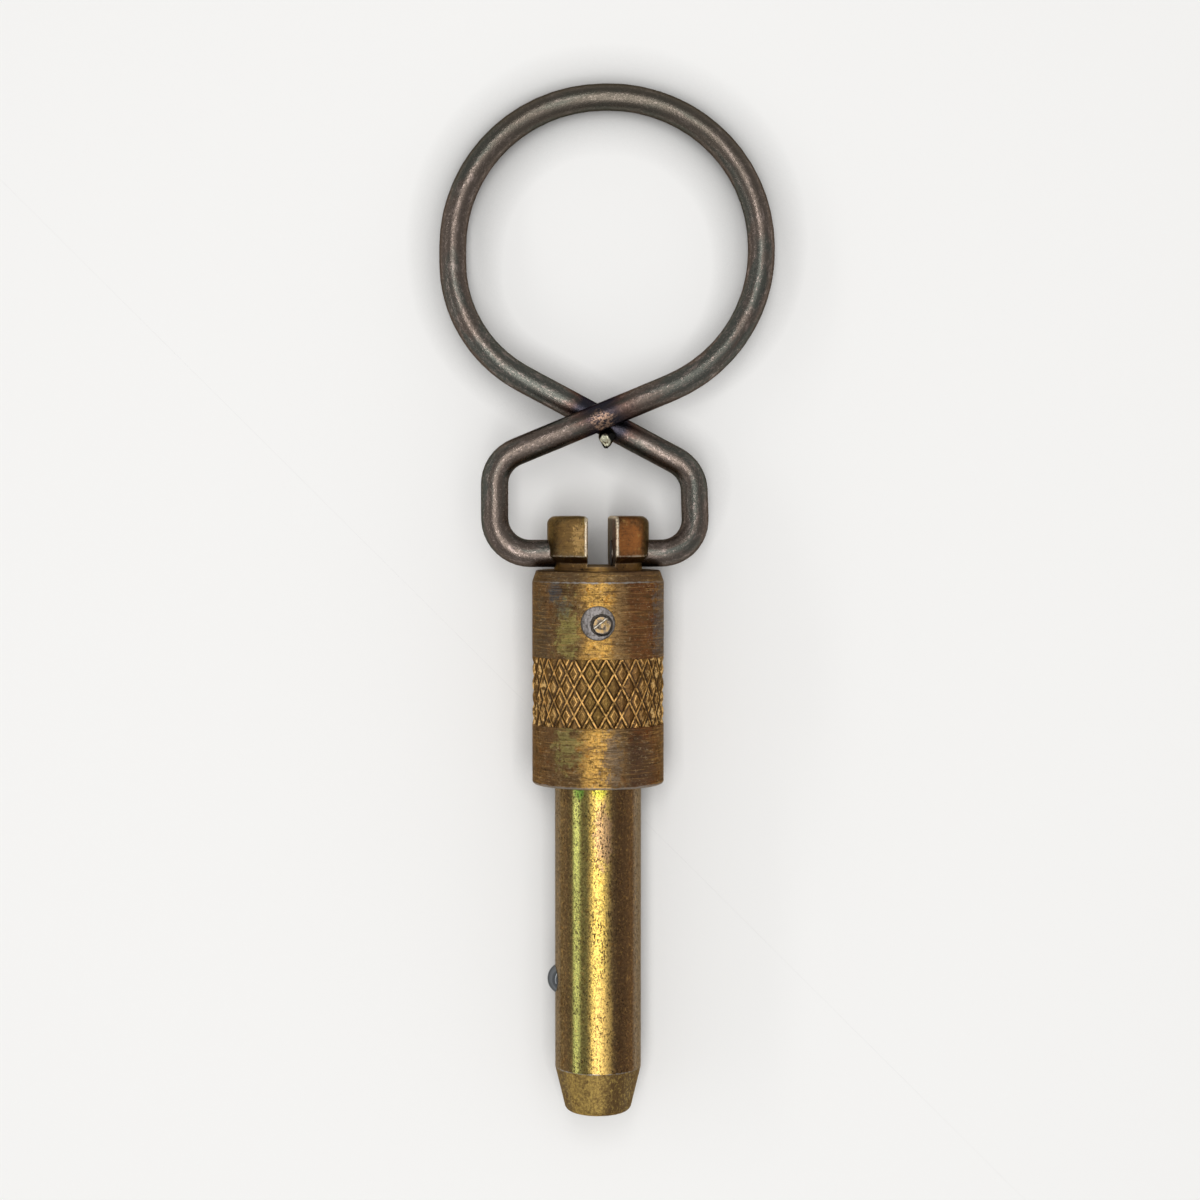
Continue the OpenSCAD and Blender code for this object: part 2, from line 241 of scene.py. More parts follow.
# bumps: (height, depth in m, strength), laid one over the other on normal.
def finishMetal(material, colour, rough, bumps, tint=(1.0, 1.0, 1.0), normal=None):
    for height, depth, strength in bumps:
        inputs = {"Height": height, "Distance": depth, "Strength": strength}
        if normal is not None:
            inputs["Normal"] = normal
        normal = fromNode("ShaderNodeBump", inputs).outputs["Normal"]
    finish = {"Base Color": colour, "Roughness": rough, "Normal": normal, "Specular Tint": tint}
    for name, value in {"Metallic": 1, **finish}.items():
        connect(value, material.node_tree.nodes["Principled BSDF"].inputs[name])
    return material


cameraView = {
    "aimX": -20.2,  # mm along the pin that the camera looks at
    "sideways": 0.22,  # mm
    "distance": 259.0,  # mm from the aim
    "lean": 2.5,  # degrees off straight down
    "lens": 70.5,
    "clip": (0.01, 50.0),  # m
}


def makeCamera():
    data = bpy.data.cameras.new("camera")
    data.lens = cameraView["lens"]
    data.clip_start, data.clip_end = cameraView["clip"]
    lean = math.radians(cameraView["lean"])
    back = Vector((-math.sin(lean), 0, math.cos(lean)))
    aim = Vector((cameraView["aimX"], cameraView["sideways"], 0)) * mm
    camera = addObject("camera", data)
    camera.matrix_world = facing(aim + back * cameraView["distance"] * mm, Vector((0, 1, 0)), back)
    bpy.context.scene.camera = camera


studio = {
    "ground": (0.94, 0.933, 0.917),
    "groundSize": 40.0,  # m
    "sky": 0.565,  # overhead
    "skyEdge": 0.8,  # at the horizon
    "skyRise": (0.06, 0.3),
    "shadowReach": 5.0,  # mm
    "shadowFull": 0.45,  # openness at which the ground is darkest
    "shadowDepth": 0.52,  # share of the ground's colour left there
    "lampDistance": 0.5,  # m
    "lampAim": -0.006,  # m along the pin
    # radiance, m along and across the pin, degrees from overhead (minus to the ball's side)
    "keyLamp": (5.4, 0.62, 0.11, -3.0),
    "fillLamp": (1.0, 0.62, 0.2, 14.0),
    "sideLamp": (2.2, 0.62, 0.05, -59.0),
}


def addLamp(name):
    radiance, along, across, angle = studio[name]
    data = bpy.data.lights.new(name, "AREA")
    data.shape = "RECTANGLE"
    data.size, data.size_y = along, across
    data.energy = radiance * math.pi * along * across
    a = math.radians(angle)
    back = Vector((0, math.sin(a), math.cos(a)))
    at = Vector((studio["lampAim"], 0, 0)) + back * studio["lampDistance"]
    addObject(name, data).matrix_world = facing(at, Vector((1, 0, 0)), back)


def makeSky():
    world = bpy.data.worlds.new("studioSky")
    bpy.context.scene.world = world
    world.use_nodes = True
    tree = world.node_tree
    tree.nodes.clear()
    up = split(addNode(tree, "ShaderNodeTexCoord").outputs["Generated"])["Z"]
    strength = ramp(up, *studio["skyRise"], studio["skyEdge"], studio["sky"])
    background = addNode(tree, "ShaderNodeBackground", {"Strength": strength})
    addNode(tree, "ShaderNodeOutputWorld", {"Surface": background.outputs[0]})


def makeGround():
    half = studio["groundSize"] / 2
    z = cadBox[0].z
    mesh = bpy.data.meshes.new("ground")
    corners = [(-half, -half, z), (half, -half, z), (half, half, z), (-half, half, z)]
    mesh.from_pydata(corners, [], [(0, 1, 2, 3)])
    material = bpy.data.materials.new("groundPaper")
    material.use_nodes = True
    tree = material.node_tree
    shader = tree.nodes["Principled BSDF"].inputs
    reach = {"Distance": studio["shadowReach"] * mm}
    near = addNode(tree, "ShaderNodeAmbientOcclusion", reach, samples=4).outputs["AO"]
    dim = {"Value": near, "From Min": studio["shadowFull"], "To Min": studio["shadowDepth"]}
    share = addNode(tree, "ShaderNodeMapRange", dim).outputs["Result"]
    connect(scaleBy(studio["ground"], share), shader["Base Color"])
    shader["Roughness"].default_value = 1
    shader["Specular IOR Level"].default_value = 0
    mesh.materials.append(material)
    addObject("ground", mesh)


makeCamera()
for name in ("keyLamp", "fillLamp", "sideLamp"):
    addLamp(name)
makeSky()
makeGround()
print("camera, lamps and ground made")


film = {
    "bronze": (0.195, 0.134, 0.062),
    "gold": (0.68, 0.48, 0.115),
    "orange": (0.52, 0.3, 0.098),
    "olive": (0.26, 0.225, 0.07),
    "umber": (0.128, 0.073, 0.035),
    "russet": (0.24, 0.105, 0.04),
    "limeHighlight": (0.8, 0.81, 0.23),
    "rose": (0.4, 0.235, 0.14),
    "dull": (0.42, 0.4, 0.42),
    "speck": (0.05, 0.03, 0.017),
    "steel": (0.36, 0.335, 0.305),
    "blue": (0.07, 0.088, 0.105),
    "edge": (0.58, 0.5, 0.4),  # tint at a grazing angle
    # degrees round the pin where a hue comes in, is full, fades and is gone: gold is a painted
    # highlight on top, olive the film's green and partly the painted colour of the side lamp's
    # highlight, brown painted shade
    "goldHighlightBand": (-22.0, -6.0, 5.0, 22.0),
    "oliveFilmAndSheenBand": (-48.0, -34.0, -18.0, -8.0),
    "brownShadeBand": (12.0, 30.0, 52.0, 74.0),
    # noises: scale, detail, roughness, distortion
    "drift": (0.6, 5.0, 0.75),
    "blotch": (1.1, 4.0, 0.7, 0.5),
    "grain": (3.6, 5.0, 0.8),
    "roseAt": (0.52, 0.7),
    "dullAt": (0.48, 0.34),
    "dullRough": 0.1,
    "grainShade": (0.34, 0.66, 0.62, 1.28),
}


# Angle round the pin's axis in degrees, 0 on top and plus to +Y, and mm from the axis.
@shaderGroup("aroundPin", {}, ("Angle", "Radius"))
def aroundPin(given, result):
    part = split(given["Place"])
    angle = calc("ARCTAN2", part["Y"], part["Z"])
    connect(calc("DEGREES", angle), result["Angle"])
    connect(rootOfSquares(part["Y"], part["Z"]), result["Radius"])


# Colour round the pin with painted light: a gold band on top is a painted highlight, an olive band
# towards the ball is the film's green and partly the painted colour of the side lamp's highlight, and a
# brown band on the other side is painted shade. It drifts round the pin and has soft patches of the
# film's own tone.
@shaderGroup(
    "platingHueAndPaintedLight",
    {"Green": 0.5, "Russet": 0.5, "Patches": 0.5, "Wobble": 12.0},
    ("Color", "Rough"),
)
def platingHueAndPaintedLight(given, result):
    place = given["Place"]
    look = film
    drift = noise(place, *look["drift"])
    angle = useGroup(aroundPin, place)["Angle"]
    angle = plusShare(angle, drift, given["Wobble"], 0.5)
    # painted highlight: gold on top, where the key lamp's highlight falls
    colour = mix(band(angle, look["goldHighlightBand"]), look["bronze"], look["gold"])
    # the film's olive green, partly the painted colour of the side lamp's highlight
    colour = stain(colour, look["olive"], band(angle, look["oliveFilmAndSheenBand"]), given["Green"])
    shadeBrown = mix(given["Russet"], look["umber"], look["russet"])
    # painted shade: dark brown on the side away from the ball
    colour = mix(band(angle, look["brownShadeBand"]), colour, shadeBrown)
    blotch = noise(place, *look["blotch"])
    pale = times(ramp(blotch, *look["roseAt"]), given["Patches"])
    colour = mix(pale, colour, look["rose"], "SOFT_LIGHT")
    dull = times(ramp(blotch, *look["dullAt"]), given["Patches"])
    colour = mix(dull, colour, look["dull"], "MULTIPLY")
    shade = ramp(noise(place, *look["grain"]), *look["grainShade"])
    connect(scaleBy(colour, shade), result["Color"])
    connect(times(dull, look["dullRough"]), result["Rough"])


marks = {
    # small dark pits
    "pits": (3.0, 0.7),  # detail and roughness
    "pitDrift": (0.5, 2.0, 0.5),
    "pitUneven": 0.25,
    "pitLevel": 0.7,
    "pitSpread": 0.14,
    "pitEdge": 0.05,
    # turning lines and scratches: shape, then scale, detail, roughness
    "lines": ((9.0, 0.22, 0.22), 1.0, 3.0, 0.75),
    "cuts": ((6.5, 0.14, 0.14), 1.0, 1.0, 0.5),
    "breaks": ((1.6, 0.4, 0.4), 1.0, 3.0),
    "cutWide": (0.006, 0.022, 1.0, 0.0),
    "breakAt": (0.5, 0.6),
    "cutDeep": 0.5,
    "darkAt": (0.47, 0.34, 0.0, 0.8),
    "brightAt": (0.54, 0.68),
    # ragged patches
    "patchGrain": (5.0, 0.7),  # detail and roughness
    "patchEdge": (1.1, 0.55),
    # rounded-off edges
    "edgeTurn": (0.992, 0.945),
    "edgeGrain": (2.2, 4.0, 0.7),
    "edgeGaps": (0.52, 0.4),
}


# Small dark pits, as a mask and as a height.
@shaderGroup("pitSpecks", {"Scale": 3.0, "Amount": 0.5}, ("Mask", "Height"))
def pitSpecks(given, result):
    place = given["Place"]
    fine = noise(place, given["Scale"], *marks["pits"])
    broad = noise(place, *marks["pitDrift"])
    level = plusShare(fine, broad, marks["pitUneven"], 0.5)
    limit = minus(marks["pitLevel"], times(given["Amount"], marks["pitSpread"]))
    mask = ramp(minus(level, limit), 0.0, marks["pitEdge"])
    connect(mask, result["Mask"])
    connect(times(mask, -1.0), result["Height"])


# Fine turning lines round the pin, with scratches that break off part way round.
@shaderGroup("latheLines", {"Scratch": 0.5}, ("Height", "Dark", "Bright"))
def latheLines(given, result):
    place = given["Place"]
    lines = shapedNoise(place, *marks["lines"])
    cut = apart(shapedNoise(place, *marks["cuts"]), 0.5)
    broken = ramp(shapedNoise(place, *marks["breaks"]), *marks["breakAt"])
    cut = times(times(ramp(cut, *marks["cutWide"]), broken), given["Scratch"])
    height = minus(lines, times(cut, marks["cutDeep"]))
    connect(height, result["Height"])
    connect(calc("MAXIMUM", cut, ramp(lines, *marks["darkAt"])), result["Dark"])
    connect(ramp(lines, *marks["brightAt"]), result["Bright"])


# A ragged patch at an angle round the pin and a height along it, as a mask.
@shaderGroup(
    "raggedPatch",
    {"Angle": 0.0, "Along": 0.0, "Turn": 10.0, "Long": 2.0, "Ragged": 1.0, "Grain": 1.5},
    ("Mask",),
)
def raggedPatch(given, result):
    place = given["Place"]
    angle = useGroup(aroundPin, place)["Angle"]
    offAngle = calc("DIVIDE", minus(angle, given["Angle"]), given["Turn"])
    offAlong = minus(split(place)["X"], given["Along"])
    offAlong = calc("DIVIDE", offAlong, given["Long"])
    grain = noise(place, given["Grain"], *marks["patchGrain"])
    away = plusShare(rootOfSquares(offAngle, offAlong), grain, given["Ragged"], 0.5)
    connect(ramp(away, *marks["patchEdge"]), result["Mask"])


# Where an edge is rounded off, as a mask broken up by grain. Width is in metres.
@shaderGroup("wornEdge", {"Width": 0.0002, "Broken": 0.4}, ("Mask",))
def wornEdge(given, result):
    place = given["Place"]
    soft = fromNode("ShaderNodeBevel", {"Radius": given["Width"]}, samples=4).outputs[0]
    flat = addNode(place.id_data, "ShaderNodeNewGeometry").outputs["Normal"]
    edge = ramp(vectorCalc("DOT_PRODUCT", soft, flat), *marks["edgeTurn"])
    grain = noise(place, *marks["edgeGrain"])
    gaps = times(ramp(grain, *marks["edgeGaps"]), given["Broken"])
    connect(calc("SUBTRACT", edge, gaps, True), result["Mask"])


# patches: angle, mm along, half width in degrees, half length in mm, raggedness, grain, tone, share
def addPatches(place, colour, patches):
    titles = ("Angle", "Along", "Turn", "Long", "Ragged", "Grain")
    for *measures, tone, share in patches.values():
        mask = useGroup(raggedPatch, place, dict(zip(titles, measures)))["Mask"]
        colour = stain(colour, tone, mask, share)
    return colour


collar = {
    "radius": 7.25,  # mm, as are all lengths below; heights are from the shoulder
    "height": 23.5,
    "rim": 0.3,
    "chamferWide": 0.45,
    "chamferHigh": 1.2,
    "bore": 4.78,
    "headBore": 4.9,
    "headDepth": 1.8,
    "knurlFrom": 6.65,
    "knurlWide": 7.4,
    "knurlDepth": 0.34,
    "knurlFloor": 0.2,  # how far the body lies under the band
    "pinHole": 1.87,
    "pinUp": 18.0,
    "pinFloor": -6.05,
    "edge": 0.07,
    "sides": 144,
    "sharpFrom": 35.0,  # degrees
    "columns": 25,
    "rows": 6,
    "rowPitch": 1.535,
}

shankLook = {
    "film": {"Green": 1.0, "Russet": 0.1, "Patches": 0.55, "Wobble": 5.0},
    # painted highlight: a lime band where the side lamp's strip falls, green as the film's hue
    "limeHighlight": (-38.0, -32.5, -28.0, -21.0),  # degrees: in, full, fades, gone
    "limeFade": (3.0, 14.0, 1.0, 0.75),  # mm along, shares
    "patches": {
        "rose": (6.0, 5.4, 14.0, 4.0, 2.0, 1.6, film["rose"], 0.75),
        "warm": (6.0, 28.0, 16.0, 9.0, 1.0, 1.0, (0.66, 0.43, 0.13), 0.7),
        "yellow": (2.0, 0.2, 12.0, 1.2, 0.6, 1.0, (0.5, 0.5, 0.05), 0.8),
        "fresh": (-26.0, 0.3, 9.0, 1.3, 0.6, 1.0, (0.16, 0.42, 0.06), 0.8),
    },
    "specks": {"Scale": 6.4, "Amount": 0.85},
    "speckShape": (0.55, 1.0, 1.0),
    "mottle": ((0.7, 1.0, 1.0), 3.6, 6.0, 0.85, 0.3),
    "mottleTones": ((film["umber"], 0.51, 0.39, 0.85), (film["orange"], 0.53, 0.62, 0.6)),
    # painted reflection: a paler tone at the grazing sides
    "side": (0.29, 0.24, 0.18),
    "sideMiddle": 3.0,  # degrees to the ball's side
    "sideReflectionFrom": (53.0, 64.0, 0.75),
    # painted shade: a dark band on the ball's side of the lime highlight
    "flankShade": (-56.0, -46.0, -38.0, -32.0),
    "flankShare": 0.55,
    "taperX": 31.5,
    "nose": (0.48, 0.325, 0.1),
    # painted shade: the nose darker away from the ball; noseSide makes it darker towards the sides
    "noseRightShade": (-2.0, 22.0, 0.85),
    "noseSide": (0.19, 0.14, 0.08),
    "noseSideFrom": (34.0, 58.0),
    "noseFleck": (0.64, 0.45, 0.13),
    "noseFreshAt": (0.49, 0.38, 0.0, 0.7),
    "noseDullAt": (0.46, 0.58, 0.0, 0.6),
    "grubby": (1.0, 5.0, 0.7),
    "grubbyAt": (0.5, 0.64, 0.7),
    "wornLine": (0.11, 0.03),
    "scratch": {"Scratch": 0.25},
    "linesDark": 0.25,
    "rough": 0.23,
    "noseRough": 0.22,
    "mottleRough": (0.4, 0.65, 0.06, 0.0),
}


def makeShankMaterial():
    look = shankLook
    material, place = newMaterial("shankPlating")
    along = split(place)["X"]
    angle = useGroup(aroundPin, place)["Angle"]
    filmAndLight = useGroup(platingHueAndPaintedLight, place, look["film"])
    # painted highlight: the side lamp's strip in lime, fading along the pin
    limeHighlight = times(band(angle, look["limeHighlight"]), ramp(along, *look["limeFade"]))
    colour = mix(limeHighlight, filmAndLight["Color"], film["limeHighlight"])
    colour = addPatches(place, colour, look["patches"])
    specks = useGroup(pitSpecks, stretch(place, look["speckShape"]), look["specks"])
    mottle = shapedNoise(place, *look["mottle"])
    turned = calc("ABSOLUTE", plus(angle, look["sideMiddle"]))
    # painted reflection: paler at the grazing sides
    colour = wash(colour, look["side"], turned, *look["sideReflectionFrom"])
    # painted shade: a dark band beside the lime highlight
    flankShade = band(angle, look["flankShade"], look["flankShare"])
    colour = mix(flankShade, colour, film["umber"])
    colour = washAll(colour, mottle, look["mottleTones"])
    colour = mix(specks["Mask"], colour, film["speck"])
    nose = ramp(along, look["taperX"] - 0.05, look["taperX"] + 0.05)
    grubby = noise(place, *look["grubby"])
    # painted shade: the nose darker away from the ball, and darker towards the sides
    noseTone = wash(look["nose"], film["umber"], angle, *look["noseRightShade"])
    noseTone = wash(noseTone, look["noseSide"], turned, *look["noseSideFrom"])
    noseTone = wash(noseTone, film["umber"], grubby, *look["grubbyAt"])
    colour = mix(nose, colour, noseTone)
    colour = stain(colour, film["umber"], nose, ramp(mottle, *look["noseDullAt"]))
    colour = stain(colour, look["noseFleck"], nose, ramp(mottle, *look["noseFreshAt"]))
    line = plusShare(apart(along, look["taperX"]), grubby, 0.6, 0.45)
    colour = stain(colour, film["steel"], ramp(line, *look["wornLine"]), 0.8)
    lathe = useGroup(latheLines, place, look["scratch"])
    colour = stain(colour, film["speck"], lathe["Dark"], look["linesDark"])
    rough = plus(filmAndLight["Rough"], look["rough"])
    rough = plusShare(rough, nose, look["noseRough"])
    rough = plus(rough, ramp(mottle, *look["mottleRough"]))
    bumps = [(lathe["Height"], 0.00002, 0.12), (mottle, 0.00006, 0.4), (specks["Height"], 0.00003, 0.8)]
    return finishMetal(material, colour, rough, bumps, film["edge"])


collarLook = {
    "film": {"Green": 0.2, "Russet": 0.5, "Patches": 0.9, "Wobble": 34.0},
    "warmth": (0.98, 0.66, 0.7),
    "patches": {
        # painted highlight: the top highlight spread further away from the ball, in a warm tone
        "warmHighlightRight": (21.0, -12.0, 11.0, 15.0, 1.6, 0.8, (0.36, 0.22, 0.09), 0.75),
        # the film's green, laid where the side lamp's highlight falls: partly a painted highlight
        "greenHigh": (-28.0, -16.8, 12.0, 3.6, 4.5, 1.3, (0.44, 0.39, 0.12), 0.6),
        "greenLow": (-28.0, -4.6, 12.0, 2.8, 4.5, 1.3, (0.4, 0.36, 0.12), 0.55),
        "russet": (36.0, -17.5, 16.0, 5.0, 1.4, 0.9, film["russet"], 0.6),
        "mauve": (13.0, -3.0, 9.0, 4.0, 4.5, 1.6, (0.23, 0.17, 0.115), 0.85),
        "blue": (-40.0, -21.4, 9.0, 1.5, 2.2, 1.8, film["blue"], 0.75),
        "blueSpots": (-31.0, -19.7, 8.0, 1.3, 4.0, 2.6, film["blue"], 0.55),
        # darker patches on both sides of the collar
        "darkRight": (72.0, -18.0, 20.0, 5.5, 3.0, 1.6, (0.135, 0.125, 0.125), 0.75),
        "darkLeft": (-62.0, -15.0, 20.0, 7.0, 2.6, 1.2, (0.105, 0.085, 0.06), 0.7),
        "darkLowRight": (40.0, -2.5, 24.0, 3.5, 2.6, 1.2, (0.115, 0.08, 0.055), 0.6),
    },
    "chamfer": (0.15, 0.098, 0.052),
    "scratch": {"Scratch": 1.0},
    "specks": {"Scale": 3.0, "Amount": 0.35},
    # noises: shape, then scale, detail, roughness; washes: from, to, share
    "streaks": ((3.4, 0.45, 0.45), 1.0, 5.0, 0.75),
    "darkStreaks": (0.5, 0.36, 0.85),
    "linesDark": 0.75,
    "linesBright": 0.6,
    "flecks": ((2.8, 1.4, 1.4), 1.3, 5.0, 0.82),
    "fleckTones": ((film["umber"], 0.49, 0.36, 0.85), ((0.56, 0.43, 0.25), 0.56, 0.66, 0.5)),
    "wearGrain": ((1.6, 0.8, 0.8), 1.4, 5.0, 0.75),
    "wornLine": (0.1, 0.02),
    "wornSides": (60.0, 30.0, 0.35, 1.0),  # degrees off the top, shares
    "footLine": (-0.08, 0.08),
    "footFrom": (6.55, 6.8, 0.0, 0.8),  # mm from the axis, shares
    "shoulderAt": (-0.06, -0.02),
    "shoulderFrom": (6.8, 6.6),
    "rough": 0.46,
}


def makeCollarMaterial():
    look = collarLook
    material, place = newMaterial("collarPlating")
    along = split(place)["X"]
    around = useGroup(aroundPin, place)
    filmAndLight = useGroup(platingHueAndPaintedLight, place, look["film"])
    colour = mix(0.55, filmAndLight["Color"], look["warmth"], "MULTIPLY")
    colour = addPatches(place, colour, look["patches"])
    chamferX = collar["chamferHigh"] - collar["height"]
    onChamfer = ramp(along, chamferX + 0.02, chamferX - 0.06)
    colour = stain(colour, look["chamfer"], onChamfer, 0.7)
    lathe = useGroup(latheLines, place, look["scratch"])
    specks = useGroup(pitSpecks, place, look["specks"])
    streaks = shapedNoise(place, *look["streaks"])
    colour = wash(colour, film["umber"], streaks, *look["darkStreaks"])
    colour = stain(colour, film["speck"], lathe["Dark"], look["linesDark"])
    colour = stain(colour, film["orange"], lathe["Bright"], look["linesBright"])
    flecks = shapedNoise(place, *look["flecks"])
    colour = washAll(colour, flecks, look["fleckTones"])
    colour = mix(specks["Mask"], colour, film["speck"])
    grain = shapedNoise(place, *look["wearGrain"])
    line = plusShare(apart(along, chamferX - 0.03), grain, 0.5, 0.5)
    offTop = calc("ABSOLUTE", around["Angle"])
    worn = times(ramp(line, *look["wornLine"]), ramp(offTop, *look["wornSides"]))
    foot = ramp(plusShare(along, grain, 0.5), *look["footLine"])
    foot = times(foot, ramp(around["Radius"], *look["footFrom"]))
    worn = calc("MAXIMUM", worn, foot)
    shoulder = ramp(along, *look["shoulderAt"])
    shoulder = times(shoulder, ramp(around["Radius"], *look["shoulderFrom"]))
    colour = stain(colour, film["bronze"], shoulder, 0.7)
    colour = stain(colour, film["steel"], worn, 0.8)
    rough = plus(filmAndLight["Rough"], look["rough"])
    rough = minus(rough, times(worn, 0.1))
    bumps = [(lathe["Height"], 0.00008, 0.8), (flecks, 0.00008, 0.8), (specks["Height"], 0.00003, 0.6)]
    return finishMetal(material, colour, rough, bumps, film["edge"])


headLook = {
    "film": {"Green": 0.1, "Russet": 1.0, "Patches": 0.8},
    "patches": {
        "orange": (36.0, -27.0, 26.0, 1.9, 1.2, 1.2, (0.4, 0.15, 0.045), 0.9),
        "leftGold": (-30.0, -27.3, 28.0, 2.4, 1.0, 1.2, (0.25, 0.145, 0.05), 0.9),
        "leftBright": (-21.0, -27.1, 9.0, 1.7, 4.0, 3.6, (0.56, 0.35, 0.13), 0.9),
    },
    # painted shade: the set-back neck between the ears and the collar darkened
    "neck": (0.15, 0.082, 0.03),
    "neckFrom": (-25.3, -24.6),
    "scratch": {"Scratch": 0.9},
    "specks": {"Scale": 2.6, "Amount": 0.4},
    "flecks": ((2.0, 1.2, 1.2), 1.0, 5.0, 0.8),
    "fleckTones": ((film["umber"], 0.49, 0.35, 0.8), (film["orange"], 0.55, 0.68, 0.6)),
    "edges": {"Width": 0.0003, "Broken": 0.8},
    "edgesFrom": (-24.6, -25.4, 0.15, 1.0),
    "slotEdge": 1.68,  # mm off the middle
    "slotTurn": 4.5,  # degrees
    "slotLine": (0.24, 0.1),
    "slotBroken": (0.4, 0.54, 0.1, 1.0),
    "slotTop": (1.52, 1.56),
    "slotFoot": (-24.9, -25.2),
    "bare": (0.96, 0.84, 0.64),
    "rough": 0.34,
    "softEdge": 0.0002,  # m
}


def makeHeadMaterial():
    look = headLook
    material, place = newMaterial("headPlating")
    part = split(place)
    filmAndLight = useGroup(platingHueAndPaintedLight, place, look["film"])
    colour = addPatches(place, filmAndLight["Color"], look["patches"])
    # painted shade: the set-back neck darkened
    colour = stain(colour, look["neck"], ramp(part["X"], *look["neckFrom"]), 0.9)
    lathe = useGroup(latheLines, place, look["scratch"])
    specks = useGroup(pitSpecks, place, look["specks"])
    colour = stain(colour, film["speck"], lathe["Dark"], 0.5)
    flecks = shapedNoise(place, *look["flecks"])
    colour = washAll(colour, flecks, look["fleckTones"])
    colour = mix(specks["Mask"], colour, film["speck"])
    edges = useGroup(wornEdge, place, look["edges"])["Mask"]
    lean = times(part["Z"], math.tan(math.radians(look["slotTurn"])))
    across = calc("ABSOLUTE", minus(part["Y"], lean))
    slotSide = plusShare(minus(across, look["slotEdge"]), flecks, 0.8, 0.5)
    slot = ramp(calc("ABSOLUTE", slotSide), *look["slotLine"])
    slot = times(slot, ramp(flecks, *look["slotBroken"]))
    onTop = times(ramp(across, *look["slotTop"]), ramp(part["X"], *look["slotFoot"]))
    worn = calc("MAXIMUM", edges, times(slot, onTop))
    worn = times(worn, ramp(part["X"], *look["edgesFrom"]))
    colour = stain(colour, look["bare"], worn, 0.9)
    rough = plus(filmAndLight["Rough"], look["rough"])
    tree = material.node_tree
    soft = addNode(tree, "ShaderNodeBevel", {"Radius": look["softEdge"]}, samples=4).outputs[0]
    bumps = [(lathe["Height"], 0.00004, 0.5), (flecks, 0.00007, 0.8), (specks["Height"], 0.00003, 0.6)]
    return finishMetal(material, colour, rough, bumps, film["edge"], soft)


steelLook = {
    "pin": (0.19, 0.174, 0.168),
    "pinGold": (0.34, 0.225, 0.095),
    # tone, roughness, dirt and tint at a grazing angle
    "rod": ((0.36, 0.35, 0.33), 0.3, 0.3),
    "spring": ((0.46, 0.44, 0.41), 0.3, 0.2),
    "ball": ((0.15, 0.158, 0.165), 0.1, 0.15, (0.4, 0.4, 0.4)),
    "grime": (0.06, 0.05, 0.04),
    "cloud": (1.3, 3.0, 0.6),
}


def makeSteelMaterial(name, tone, rough, dirty, tint=(1.0, 1.0, 1.0)):
    material, place = newMaterial(name)
    specks = useGroup(pitSpecks, place, {"Scale": 2.2, "Amount": dirty})
    cloud = noise(place, *steelLook["cloud"])
    colour = stain(tone, steelLook["grime"], ramp(cloud, 0.45, 0.7), dirty)
    colour = mix(specks["Mask"], colour, steelLook["grime"])
    uneven = ramp(cloud, 0.3, 0.7, rough - 0.05, rough + 0.08)
    return finishMetal(material, colour, uneven, [(specks["Height"], 0.00002, 0.5)], tint)


# The stake's ring and slash on the end of the pin, in mm.
pinMark = {
    "middle": (-17.78, 0.4, 0.0),
    "wave": (0.9, 3.0, 0.6),
    "ring": 1.08,
    "ringWide": 0.16,
    "hollow": (0.55, 0.25),
    "slashTurn": -38.0,  # degrees
    "slashShift": 0.25,
    "slashWide": (0.16, 0.05),
    "slashLong": (1.15, 0.9),
    "slash": (0.55, 0.5, 0.42),
    "grain": (2.6, 4.0, 0.7),
    "darkGrain": (0.52, 0.36, 0.8),
    "gilt": (0.42, 0.56, 0.15, 1.0),
    "seam": (1.78, 1.96),
    "rough": 0.42,
}


def makePinMaterial():
    look = pinMark
    grime = steelLook["grime"]
    material, place = newMaterial("pinSteel")
    flat = stretch(vectorCalc("SUBTRACT", place, look["middle"]), (1.0, 1.0, 0.0))
    wave = noise(place, *look["wave"])
    away = plusShare(vectorCalc("LENGTH", flat), wave, 0.5, 0.5)
    ring = ramp(apart(away, look["ring"]), look["ringWide"], 0.02)
    inside = ramp(away, look["ring"] - 0.05, look["ring"] - 0.3)
    turn = {"Vector": flat, "Angle": math.radians(look["slashTurn"])}
    turned = fromNode("ShaderNodeVectorRotate", turn, rotation_type="Z_AXIS").outputs[0]
    slash = calc("ABSOLUTE", plus(split(turned)["X"], look["slashShift"]))
    slash = times(ramp(slash, *look["slashWide"]), ramp(away, *look["slashLong"]))
    grain = noise(place, *look["grain"])
    colour = wash(steelLook["pin"], grime, grain, *look["darkGrain"])
    colour = stain(colour, steelLook["pinGold"], inside, ramp(grain, *look["gilt"]))
    axis = vectorCalc("SUBTRACT", place, (-collar["pinUp"], 0, 0))
    out = vectorCalc("LENGTH", stretch(axis, (1.0, 1.0, 0.0)))
    seam = ramp(plusShare(out, wave, 0.3), *look["seam"])
    colour = stain(colour, grime, seam, 0.9)
    colour = stain(colour, grime, ring, 0.9)
    colour = stain(colour, look["slash"], slash, 0.8)
    height = minus(slash, times(ring, 1.2))
    height = minus(height, times(ramp(away, *look["hollow"]), 0.9))
    height = plusShare(height, wave, 1.5)
    bumps = [(height, 0.00012, 0.9), (grain, 0.00004, 0.7)]
    return finishMetal(material, colour, look["rough"], bumps)


